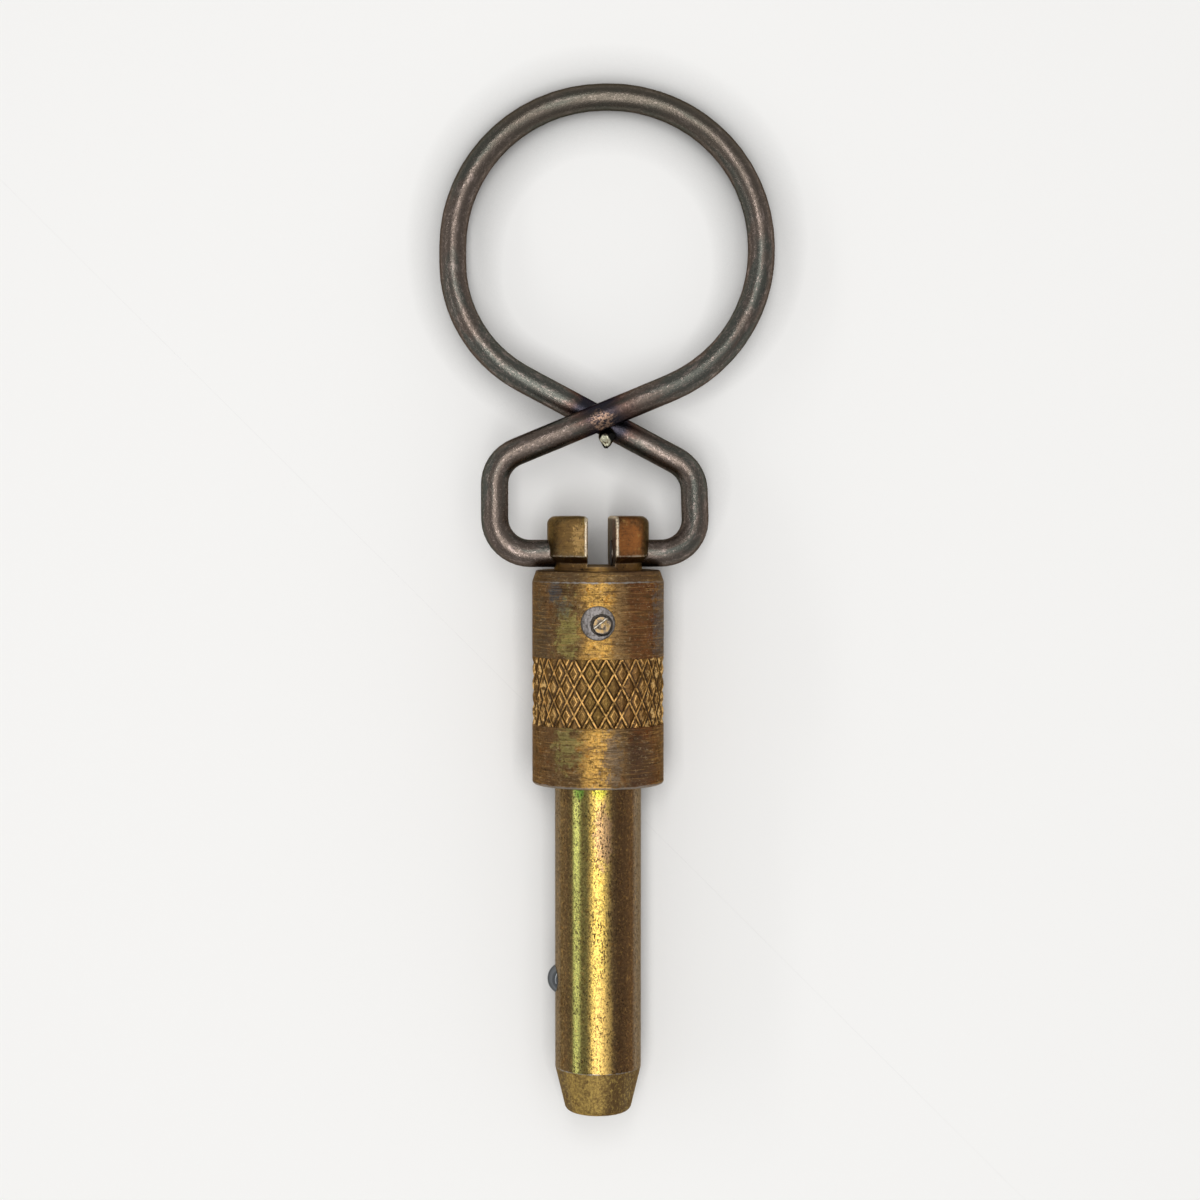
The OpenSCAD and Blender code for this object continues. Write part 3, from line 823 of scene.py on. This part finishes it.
knurlLook = {
    "film": {"Green": 0.3, "Russet": 0.6, "Patches": 0.6, "Wobble": 16.0},
    # the bright groove tone is a painted highlight in the groove bottoms, and also the tone of worn tip
    # ledges
    "groove": (0.92, 0.53, 0.17),
    # the dark facet tone is the plating darkened as painted shade
    "facet": (0.165, 0.085, 0.029),
    # painted highlight on the facets at the knurl's sides
    "sideGlint": (0.88, 0.56, 0.22),
    # noise that breaks up the painted groove highlights and side highlights
    "grime": (1.6, 3.0, 0.6),
    "fine": (2.6, 5.0, 0.75),
    # painted shade: a dark line up each groove wall
    "wall": (0.02, 0.06, 0.09, 0.15),  # mm above the groove: in, full, fades, gone
    "ledge": (0.19, 0.22, 0.24, 0.27),
    "ledgeWear": (0.2, 0.8),
    "grooveGlintAt": (0.38, 0.6),
    "sideGlintFrom": (34.0, 58.0),  # degrees off the top
    "sideGlintAt": (0.5, 0.57, 0.0, 0.9),
    "sideGlintUp": (0.1, 0.16),  # mm above the groove
    "darkFine": (0.45, 0.34, 0.7),
    "paleFine": (0.58, 0.68, 0.5),
    "rough": 0.3,
}


def makeKnurlMaterial():
    look = knurlLook
    material, place = newMaterial("knurlPlating")
    around = useGroup(aroundPin, place)
    filmAndLight = useGroup(platingHueAndPaintedLight, place, look["film"])
    root = collar["radius"] - collar["knurlDepth"]
    deep = ramp(around["Radius"], root, root + 0.045, 1.0, 0.0)
    wear = readAttribute(material, "wear")["Fac"]
    # noise that breaks up the painted groove highlights and side highlights
    grime = noise(place, *look["grime"])
    fine = noise(place, *look["fine"])
    rise = plusShare(minus(around["Radius"], root), fine, 0.12, 0.5)
    # painted shade: the facets darkened, and a dark line up the groove walls
    colour = mix(0.85, filmAndLight["Color"], look["facet"])
    colour = mix(band(rise, look["wall"], 0.95), colour, film["speck"])
    ledge = band(rise, look["ledge"], 0.8)
    colour = stain(colour, look["groove"], ledge, ramp(wear, *look["ledgeWear"]))
    # painted highlight: bright groove bottoms
    colour = stain(colour, look["groove"], deep, ramp(grime, *look["grooveGlintAt"]))
    # painted highlight: bright facets towards the sides
    side = ramp(calc("ABSOLUTE", around["Angle"]), *look["sideGlintFrom"])
    sideGlint = times(side, ramp(grime, *look["sideGlintAt"]))
    colour = stain(colour, look["sideGlint"], sideGlint, ramp(rise, *look["sideGlintUp"]))
    colour = wash(colour, film["speck"], fine, *look["darkFine"])
    colour = wash(colour, look["groove"], fine, *look["paleFine"])
    return finishMetal(material, colour, look["rough"], [(fine, 0.00012, 0.8)], film["edge"])


def dress(item, material):
    item.data.materials.clear()
    item.data.materials.append(material)


collarPlating = makeCollarMaterial()
knurlPlating = makeKnurlMaterial()
springSteel = makeSteelMaterial("springSteel", *steelLook["spring"])
dress(nodes["shank"], makeShankMaterial())
dress(nodes["spindle"], makeHeadMaterial())
dress(nodes["cross_pin"], makePinMaterial())
dress(nodes["locking_rod"], makeSteelMaterial("rodSteel", *steelLook["rod"]))
dress(nodes["locking_ball"], makeSteelMaterial("ballSteel", *steelLook["ball"]))
print("platings and steels made")


def aroundAxis(along, radius, angle):
    return along, radius * math.sin(angle), radius * math.cos(angle)


# A band of faces between two closed rings of vertices.
def bridge(form, lower, upper):
    for i in range(len(lower)):
        j = (i + 1) % len(lower)
        form.faces.new((lower[i], lower[j], upper[j], upper[i]))


# Turns a closed outline of (radius, height) in mm round the pin's axis.
def makeLathe(name, outline, sides):
    form = bmesh.new()
    rings = []
    for k in range(sides):
        a = 2 * math.pi * k / sides
        rings.append([form.verts.new(aroundAxis(-h * mm, r * mm, a)) for r, h in outline])
    for k in range(sides):
        bridge(form, rings[k], rings[(k + 1) % sides])
    bmesh.ops.recalc_face_normals(form, faces=form.faces)
    return addFormed(name, form)


def collarOutline():
    c = collar
    r, e, rim, top = c["radius"], c["edge"], c["rim"], c["height"]
    foot, head = c["knurlFrom"], c["knurlFrom"] + c["knurlWide"]
    floor = r - c["knurlDepth"] - c["knurlFloor"]
    chamferFoot, chamferIn = top - c["chamferHigh"], r - c["chamferWide"]
    points = [(c["bore"], 0), (r - rim, 0)]
    for k in range(1, 6):
        a = math.radians(18 * k)
        points.append((r - rim + rim * math.sin(a), rim - rim * math.cos(a)))
    points += [(r, foot - e), (r - e, foot), (floor, foot), (floor, head), (r - e, head), (r, head + e)]
    points += [(r, chamferFoot - e), (r - e / 2, chamferFoot + e)]
    points += [(chamferIn + e / 2, top - e), (chamferIn - e, top)]
    points += [(c["headBore"], top), (c["headBore"], top - c["headDepth"])]
    points += [(c["bore"], top - c["headDepth"])]
    return points


def evaluatedMesh(item):
    bpy.context.view_layer.update()
    shown = item.evaluated_get(bpy.context.evaluated_depsgraph_get())
    return bpy.data.meshes.new_from_object(shown)


# The blind hole for the cross pin, cut from above.
def cutPinHole(piece):
    radius, deep = collar["pinHole"] * mm, 20 * mm
    middle = (-collar["pinUp"] * mm, 0, collar["pinFloor"] * mm + deep / 2)
    form = bmesh.new()
    size = {"radius1": radius, "radius2": radius, "depth": deep, "segments": 64, "cap_ends": True}
    bmesh.ops.create_cone(form, matrix=Matrix.Translation(middle), **size)
    tool = addFormed("pinHoleCutter", form)
    cut = piece.modifiers.new("pinHole", "BOOLEAN")
    cut.operation = "DIFFERENCE"
    cut.solver = "EXACT"
    cut.object = tool
    mesh = evaluatedMesh(piece)
    piece.modifiers.remove(cut)
    piece.data = mesh
    bpy.data.objects.remove(tool)


# One knurl diamond on top of the pin: a soft-edged pyramid with a small worn tip.
def makeDiamond():
    halfTurn = math.pi / collar["columns"]
    halfLong = collar["rowPitch"] * mm
    root = collar["radius"] - collar["knurlDepth"]
    # (share of the way in from the groove to the tip, share of the depth)
    steps = [(0.0, 0.0), (0.09, 0.05), (0.16, 0.14), (0.76, 0.9), (0.86, 0.97)]
    outline = [(0, 1), (0.5, 0.5), (1, 0), (0.5, -0.5), (0, -1), (-0.5, -0.5), (-1, 0), (-0.5, 0.5)]
    form = bmesh.new()
    rings = []
    for inward, up in steps:
        r = (root + collar["knurlDepth"] * up) * mm
        ring = []
        for u, v in outline:
            a = u * (1 - inward) * halfTurn
            along = v * (1 - inward) * halfLong
            ring.append(form.verts.new(aroundAxis(along, r, a)))
        rings.append(ring)
    tip = form.verts.new((0, 0, (root + collar["knurlDepth"] * 0.96) * mm))
    for lower, upper in zip(rings, rings[1:]):
        bridge(form, lower, upper)
    for here, following in zip(ring, ring[1:] + ring[:1]):
        form.faces.new((here, following, tip))
    bmesh.ops.recalc_face_normals(form, faces=form.faces)
    return addFormed("knurlDiamond", form)


def grow(kind, geometry, inputs=None, **settings):
    return fromNode("GeometryNode" + kind, {0: geometry, **(inputs or {})}, **settings).outputs[0]


# Sets rows of diamonds round the pin, each row half a diamond on from the last.
def makeKnurlTree():
    inputs = {"Geometry": "Geometry", "Diamond": "Object", "Columns": "Int", "Rows": "Int"}
    inputs.update({"Pitch": "Float", "Top": "Float", "Seed": "Int", "Material": "Material"})
    tree, given, result = newTree("knurlRows", "GeometryNodeTree", inputs, {"Geometry": "Geometry"})
    columns = given["Columns"]
    index = addNode(tree, "GeometryNodeInputIndex").outputs[0]
    row = calc("FLOOR", calc("DIVIDE", plus(index, 0.01), columns))
    column = minus(index, times(row, columns))
    half = times(calc("MODULO", row, 2.0), 0.5)
    part = calc("DIVIDE", plus(column, half), columns)
    along = minus(times(row, given["Pitch"]), given["Top"])
    spot = addNode(tree, "ShaderNodeCombineXYZ", {"X": along}).outputs[0]
    spin = addNode(tree, "ShaderNodeCombineXYZ", {"X": times(part, 2 * math.pi)}).outputs[0]
    diamond = addNode(tree, "GeometryNodeObjectInfo", {"Object": given["Diamond"]}).outputs["Geometry"]
    points = {"Count": times(columns, given["Rows"]), "Position": spot}
    shape = addNode(tree, "GeometryNodePoints", points).outputs[0]
    shape = grow("InstanceOnPoints", shape, {"Instance": diamond, "Rotation": spin})
    chance = addNode(tree, "FunctionNodeRandomValue", {"Seed": given["Seed"]}, data_type="FLOAT")
    worn = {"Name": "wear", "Value": chance.outputs[1]}
    shape = grow("StoreNamedAttribute", shape, worn, data_type="FLOAT", domain="INSTANCE")
    shape = grow("RealizeInstances", shape)
    shape = grow("MergeByDistance", shape, {"Distance": 0.02 * mm})
    shape = grow("SetShadeSmooth", shape, {"Shade Smooth": False})
    connect(grow("SetMaterial", shape, {"Material": given["Material"]}), result["Geometry"])
    return tree


# Runs a Geometry Nodes tree on source and keeps its result as a plain mesh.
def growPiece(source, tree, name, values):
    modifier = source.modifiers.new(tree.name, "NODES")
    modifier.node_group = tree
    for item in tree.interface.items_tree:
        if item.item_type == "SOCKET" and item.in_out == "INPUT" and item.name in values:
            modifier[item.identifier] = values[item.name]
    source.update_tag()
    mesh = evaluatedMesh(source)
    source.modifiers.remove(modifier)
    bpy.data.objects.remove(source)
    mesh.name = name
    return addObject(name, mesh)


def makeCollar():
    body = makeLathe("collar_body", collarOutline(), collar["sides"])
    cutPinHole(body)
    body.data.shade_smooth()
    body.data.set_sharp_from_angle(angle=math.radians(collar["sharpFrom"]))
    dress(body, collarPlating)
    diamond = makeDiamond()
    band = growPiece(
        addObject("knurlSource", bpy.data.meshes.new("knurlSource")),
        makeKnurlTree(),
        "knurl_band",
        {
            "Diamond": diamond,
            "Columns": collar["columns"],
            "Rows": collar["rows"],
            "Pitch": collar["rowPitch"] * mm,
            "Top": (collar["knurlFrom"] + collar["knurlWide"] + 0.03) * mm,
            "Seed": 4,
            "Material": knurlPlating,
        },
    )
    bpy.data.objects.remove(diamond)
    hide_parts("collar")
    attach(body, "barrel")
    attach(band, "barrel")
    print("collar:", len(body.data.polygons), "faces; knurl:", len(band.data.polygons), "faces")


makeCollar()


handle = {
    "wireRadius": 1.5,  # mm, as are all lengths below
    "pivotUp": 25.35,
    "sidePlay": -0.25,
    "forkWidth": 3.0,
    "bailHalf": 11.12,
    "bailLeft": 10.05,
    "bailRight": 9.4,
    "footBend": 3.9,
    "shoulderBend": 3.8,
    "ringRadius": 17.1,
    "ringCentre": 34.0,
    "ringShift": 1.55,
    "ringRight": 22.5,
    "ringLeft": 23.7,
    "ringLeftBend": 14.6,
    "sink": 0.3,  # how far the legs sink into each other where they cross
    "arcStep": 6.0,  # degrees
    "sides": 24,
    "spacing": 0.6,
    "uneven": 0.04,
}
legDepth = handle["wireRadius"] - handle["sink"] / 2
ringTop = handle["ringCentre"] + handle["ringRadius"]
ringEast = handle["ringShift"] + handle["ringRadius"]
ringWest = handle["ringShift"] - handle["ringRadius"]
clearance = collar["radius"] - handle["wireRadius"]
roll = math.atan(legDepth / handle["ringRadius"])
headTurn = math.atan(math.tan(roll) * math.cos(math.asin(clearance / ringTop)))
lift = clearance - (handle["ringShift"] + handle["sidePlay"]) * math.sin(headTurn)
droop = math.asin(lift / (ringTop * math.cos(headTurn)))


# From the loop's own axes (depth, sideways, height over the pivot) to the pin's.
def handlePlace():
    lay = Matrix.Rotation(math.radians(-90), 4, "Y")
    turn = Matrix.Rotation(headTurn, 4, "Z")
    up = Matrix.Translation((0, handle["sidePlay"], handle["pivotUp"]))
    down = Matrix.Rotation(-droop, 4, "Y")
    return lay @ turn @ up @ down


# Points along a route of [corner, bend radius], with arcs in place of corners.
def roundCorners(corners):
    route = []
    for i, (corner, bend) in enumerate(corners):
        corner = Vector(corner)
        if bend == 0:
            route.append(corner)
            continue
        before = (Vector(corners[i - 1][0]) - corner).normalized()
        after = (Vector(corners[i + 1][0]) - corner).normalized()
        half = before.angle(after) / 2
        toward = (before + after).normalized()
        centre = corner + toward * (bend / math.sin(half))
        first = corner + before * (bend / math.tan(half)) - centre
        axis = first.cross(corner - centre).normalized()
        sweep = math.pi - 2 * half
        steps = max(2, round(math.degrees(sweep) / handle["arcStep"]))
        for k in range(steps + 1):
            spin = Matrix.Rotation(sweep * k / steps, 3, axis)
            route.append(centre + spin @ first)
    return route


def handleRoute():
    end = handle["forkWidth"] / 2 - 0.1
    play = handle["sidePlay"]
    half = handle["bailHalf"]
    inner = handle["ringRadius"] - 0.2
    corners = [
        [(0, -end - play, 0), 0],
        [(0, -half, 0), handle["footBend"]],
        [(legDepth, -half, handle["bailLeft"]), handle["shoulderBend"]],
        [(legDepth, ringEast, handle["ringRight"]), inner],
        [(legDepth, ringEast, ringTop), inner],
        [(-legDepth, ringWest, ringTop), inner],
        [(-legDepth, ringWest, handle["ringLeft"]), handle["ringLeftBend"]],
        [(-legDepth, half, handle["bailRight"]), handle["shoulderBend"]],
        [(0, half, 0), handle["footBend"]],
        [(0, end - play, 0), 0],
    ]
    return roundCorners(corners)


# Where the two straight legs pass over each other, in the loop's own axes.
def crossingPoint():
    half, left, right = handle["bailHalf"], handle["bailLeft"], handle["bailRight"]
    slopeOver = (handle["ringRight"] - left) / (ringEast + half)
    slopeUnder = (handle["ringLeft"] - right) / (ringWest - half)
    y = (right - left - half * (slopeOver + slopeUnder)) / (slopeOver - slopeUnder)
    return Vector((0, y, left + slopeOver * (y + half)))


# An open line of edges through the points, in metres.
def makeRouteObject(name, points, place):
    mesh = bpy.data.meshes.new(name)
    edges = [(i, i + 1) for i in range(len(points) - 1)]
    mesh.from_pydata([place @ Vector(p) * mm for p in points], edges, [])
    return addObject(name, mesh)


# Keeps a value with the geometry for use further on.
def capture(kind, title, geometry, value):
    node = addNode(value.id_data, "GeometryNodeCaptureAttribute", domain="POINT")
    node.capture_items.new(kind, title)
    connect(geometry, node.inputs["Geometry"])
    connect(value, node.inputs[title])
    return node.outputs["Geometry"], node.outputs[title]


# Sweeps a round wire along an edge line; wirePlace holds (cos, sin, millimetres along).
def makeWireTree():
    inputs = {"Geometry": "Geometry", "Radius": "Float", "Sides": "Int", "Spacing": "Float"}
    inputs.update({"Uneven": "Float", "Material": "Material"})
    tree, given, result = newTree("wireSweep", "GeometryNodeTree", inputs, {"Geometry": "Geometry"})
    curve = grow("MeshToCurve", given["Geometry"])
    curve = grow("ResampleCurve", curve, {"Length": given["Spacing"]}, mode="LENGTH")
    along = addNode(tree, "GeometryNodeSplineParameter").outputs["Length"]
    curve, along = capture("FLOAT", "along", curve, along)
    size = {"Resolution": given["Sides"], "Radius": given["Radius"]}
    circle = addNode(tree, "GeometryNodeCurvePrimitiveCircle", size).outputs["Curve"]
    spot = addNode(tree, "GeometryNodeInputPosition").outputs[0]
    circle, around = capture("VECTOR", "around", circle, spot)
    wire = grow("CurveToMesh", curve, {"Profile Curve": circle, "Fill Caps": True})
    part = split(vectorCalc("NORMALIZE", around))
    where = {"X": part["X"], "Y": part["Y"], "Z": times(along, 1000.0)}
    place = addNode(tree, "ShaderNodeCombineXYZ", where).outputs[0]
    kept = {"Name": "wirePlace", "Value": place}
    wire = grow("StoreNamedAttribute", wire, kept, data_type="FLOAT_VECTOR", domain="POINT")
    ripple = minus(noise(place, 0.35, 1.0), 0.5)
    normal = addNode(tree, "GeometryNodeInputNormal").outputs[0]
    push = scaleBy(normal, times(ripple, given["Uneven"]))
    wire = grow("SetPosition", wire, {"Offset": push})
    wire = grow("SetShadeSmooth", grow("RealizeInstances", wire))
    connect(grow("SetMaterial", wire, {"Material": given["Material"]}), result["Geometry"])
    return tree


wireSweep = makeWireTree()


# A wire along the route, its sizes in mm from the dictionary of its piece.
def sweepWire(name, route, place, sizes, material):
    values = {"Material": material, "Sides": sizes["sides"]}
    for title, key in (("Radius", "wireRadius"), ("Spacing", "spacing"), ("Uneven", "uneven")):
        values[title] = sizes[key] * mm
    wire = growPiece(makeRouteObject(name + "Route", route, place), wireSweep, name, values)
    print(name, "has", len(wire.data.polygons), "faces")
    return wire


wireLook = {
    "taupe": (0.134, 0.106, 0.088),
    "pink": (0.42, 0.33, 0.295),
    "green": (0.1, 0.102, 0.088),
    # painted shade at the ring's top, in the wire's own olive tone
    "crownOliveAndShade": (0.078, 0.072, 0.056),
    "blueBlack": (0.03, 0.03, 0.04),
    "red": (0.55, 0.22, 0.18),
    "copper": (0.42, 0.27, 0.19),
    "copperSpot": (0.5, 0.3, 2.7),  # mm from the crossing, on the front wire
    "tint": (0.36, 0.34, 0.32),  # at a grazing angle
    # noises: shape, then scale, detail, roughness; washes: from, to, share
    "streak": ((1.7, 1.7, 0.5), 1.0, 5.0, 0.7),
    "fleck": ((1.0, 1.0, 0.7), 4.5, 4.0, 0.75),
    "patch": ((0.5, 0.5, 0.12), 1.0, 3.0, 0.55),
    "greenAt": (0.46, 0.6),
    "pinkStreak": (0.54, 0.7, 0.5),
    "pinkFleck": (0.55, 0.66, 0.5),
    "darkFleck": (0.42, 0.3, 0.75),
    "crownOliveAndShadeFrom": (30.0, 40.0, 0.65),  # mm from the crossing, as are the next two
    "redFrom": (7.0, 4.6, 0.55),
    "scorchFrom": (5.4, 4.2, 0.95),
    "copperWide": (2.9, 2.2),
    "copperBroken": (0.46, 0.56),
    "rough": (0.35, 0.65, 0.38, 0.24),
}


def makeWireMaterial(crossing):
    look = wireLook
    material, place = newMaterial("wireSteel")
    along = readAttribute(material, "wirePlace")["Vector"]
    along = stretch(along, (handle["wireRadius"], handle["wireRadius"], 1.0))
    streak = shapedNoise(along, *look["streak"])
    fleck = shapedNoise(along, *look["fleck"])
    patch = shapedNoise(along, *look["patch"])
    colour = wash(look["taupe"], look["green"], patch, *look["greenAt"])
    colour = wash(colour, look["pink"], streak, *look["pinkStreak"])
    colour = wash(colour, look["pink"], fleck, *look["pinkFleck"])
    colour = wash(colour, look["blueBlack"], fleck, *look["darkFleck"])
    away = vectorCalc("DISTANCE", place, crossing)
    far = plusShare(away, patch, 6.0)
    # the ring's top darker: painted shade, in the wire's own olive tone
    colour = wash(colour, look["crownOliveAndShade"], far, *look["crownOliveAndShadeFrom"])
    close = plusShare(away, patch, 3.0)
    colour = wash(colour, look["red"], close, *look["redFrom"], "MULTIPLY")
    colour = wash(colour, look["blueBlack"], close, *look["scorchFrom"])
    spot = tuple(Vector(crossing) + Vector(look["copperSpot"]))
    ragged = plusShare(vectorCalc("DISTANCE", place, spot), streak, 2.6)
    bare = ramp(ragged, *look["copperWide"])
    colour = stain(colour, look["copper"], bare, ramp(fleck, *look["copperBroken"]))
    bumps = [(streak, 0.00004, 0.4), (fleck, 0.00004, 0.6)]
    return finishMetal(material, colour, ramp(fleck, *look["rough"]), bumps, look["tint"])


def makeRing():
    place = handlePlace()
    steel = makeWireMaterial(tuple(place @ crossingPoint()))
    ring = sweepWire("ring_wire", handleRoute(), place, handle, steel)
    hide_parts("ring_handle")
    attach(ring, "ring")


makeRing()


bead = {
    "sideways": 0.62,  # mm off the crossing
    "down": 2.15,
    "wide": 0.92,
    "long": 1.25,
    "lumps": 0.16,
    "taper": (0.62, 1.3),  # share and power
    "black": (0.016, 0.015, 0.014),
    # the pale facet is a painted highlight
    "pale": (0.8, 0.78, 0.58),
    "facet": (0.35, -0.15, 0.7),  # mm off the bead's middle
    "highlightWide": (1.15, 0.95),
    "rough": 0.22,
}


def beadCentre():
    return crossingPoint() + Vector((0, bead["sideways"], -bead["down"]))


# Black at the root, with one pale facet, a painted highlight.
def makeBeadMaterial(middle):
    material, place = newMaterial("weldMetal")
    facet = tuple(middle + Vector(bead["facet"]))
    cloud = noise(place, 1.1, 2.0, 0.5)
    ragged = plusShare(vectorCalc("DISTANCE", place, facet), cloud, 0.9)
    # painted highlight: the pale facet
    colour = wash(bead["black"], bead["pale"], ragged, *bead["highlightWide"])
    bumps = [(noise(place, 3.0, 2.0), 0.0001, 0.5)]
    return finishMetal(material, colour, bead["rough"], bumps, film["edge"])


# A drop of weld metal that hangs under the crossing, drawn out to a point.
def makeWeldBead():
    form = bmesh.new()
    bmesh.ops.create_icosphere(form, subdivisions=4, radius=1.0)
    centre = beadCentre()
    place = handlePlace()
    share, power = bead["taper"]
    for vertex in form.verts:
        v = vertex.co
        size = 1 + bead["lumps"] * math.sin(5 * v.x + 2) * math.sin(4 * v.y + 1) * math.cos(3 * v.z)
        wide = bead["wide"] * size * (1 - share * max(0, -v.z) ** power)
        at = centre + Vector((v.x * wide, v.y * wide, v.z * bead["long"] * size))
        vertex.co = place @ at * mm
    drop = addFormed("weld_bead", form)
    drop.data.shade_smooth()
    dress(drop, makeBeadMaterial(place @ centre))
    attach(drop, "ring")


makeWeldBead()


spring = {
    "foot": 7.91,  # mm from the shoulder, as are all lengths below
    "length": 8.2,
    "wireRadius": 0.25,
    "coilRadius": 1.85,
    "turns": 7,
    "perTurn": 24,
    "travel": 3.0,
    "sides": 10,
    "spacing": 0.5,
    "uneven": 0.0,
}


# Flat end turns with an even rise between them, up the pin's axis.
def springRoute():
    turns = spring["turns"]
    wire = spring["wireRadius"] * 2
    rise = spring["length"] - 3 * wire
    points = []
    for i in range(turns * spring["perTurn"] + 1):
        t = i / spring["perTurn"]
        ends = min(t, 1) + max(t - turns + 1, 0)
        middle = min(max((t - 1) / (turns - 2), 0), 1)
        height = spring["foot"] + wire / 2 + wire * ends + rise * middle
        points.append(aroundAxis(-height, spring["coilRadius"], 2 * math.pi * t))
    return points


# The coil, at rest; on the real pin it closes up against the cross pin as the spindle is pulled.
def makeSpring():
    coil = sweepWire("spring_coil", springRoute(), Matrix.Identity(4), spring, springSteel)
    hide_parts("return_spring")
    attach(coil, "barrel")
    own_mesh(coil)


makeSpring()

bpy.context.scene.view_settings.view_transform = "Standard"
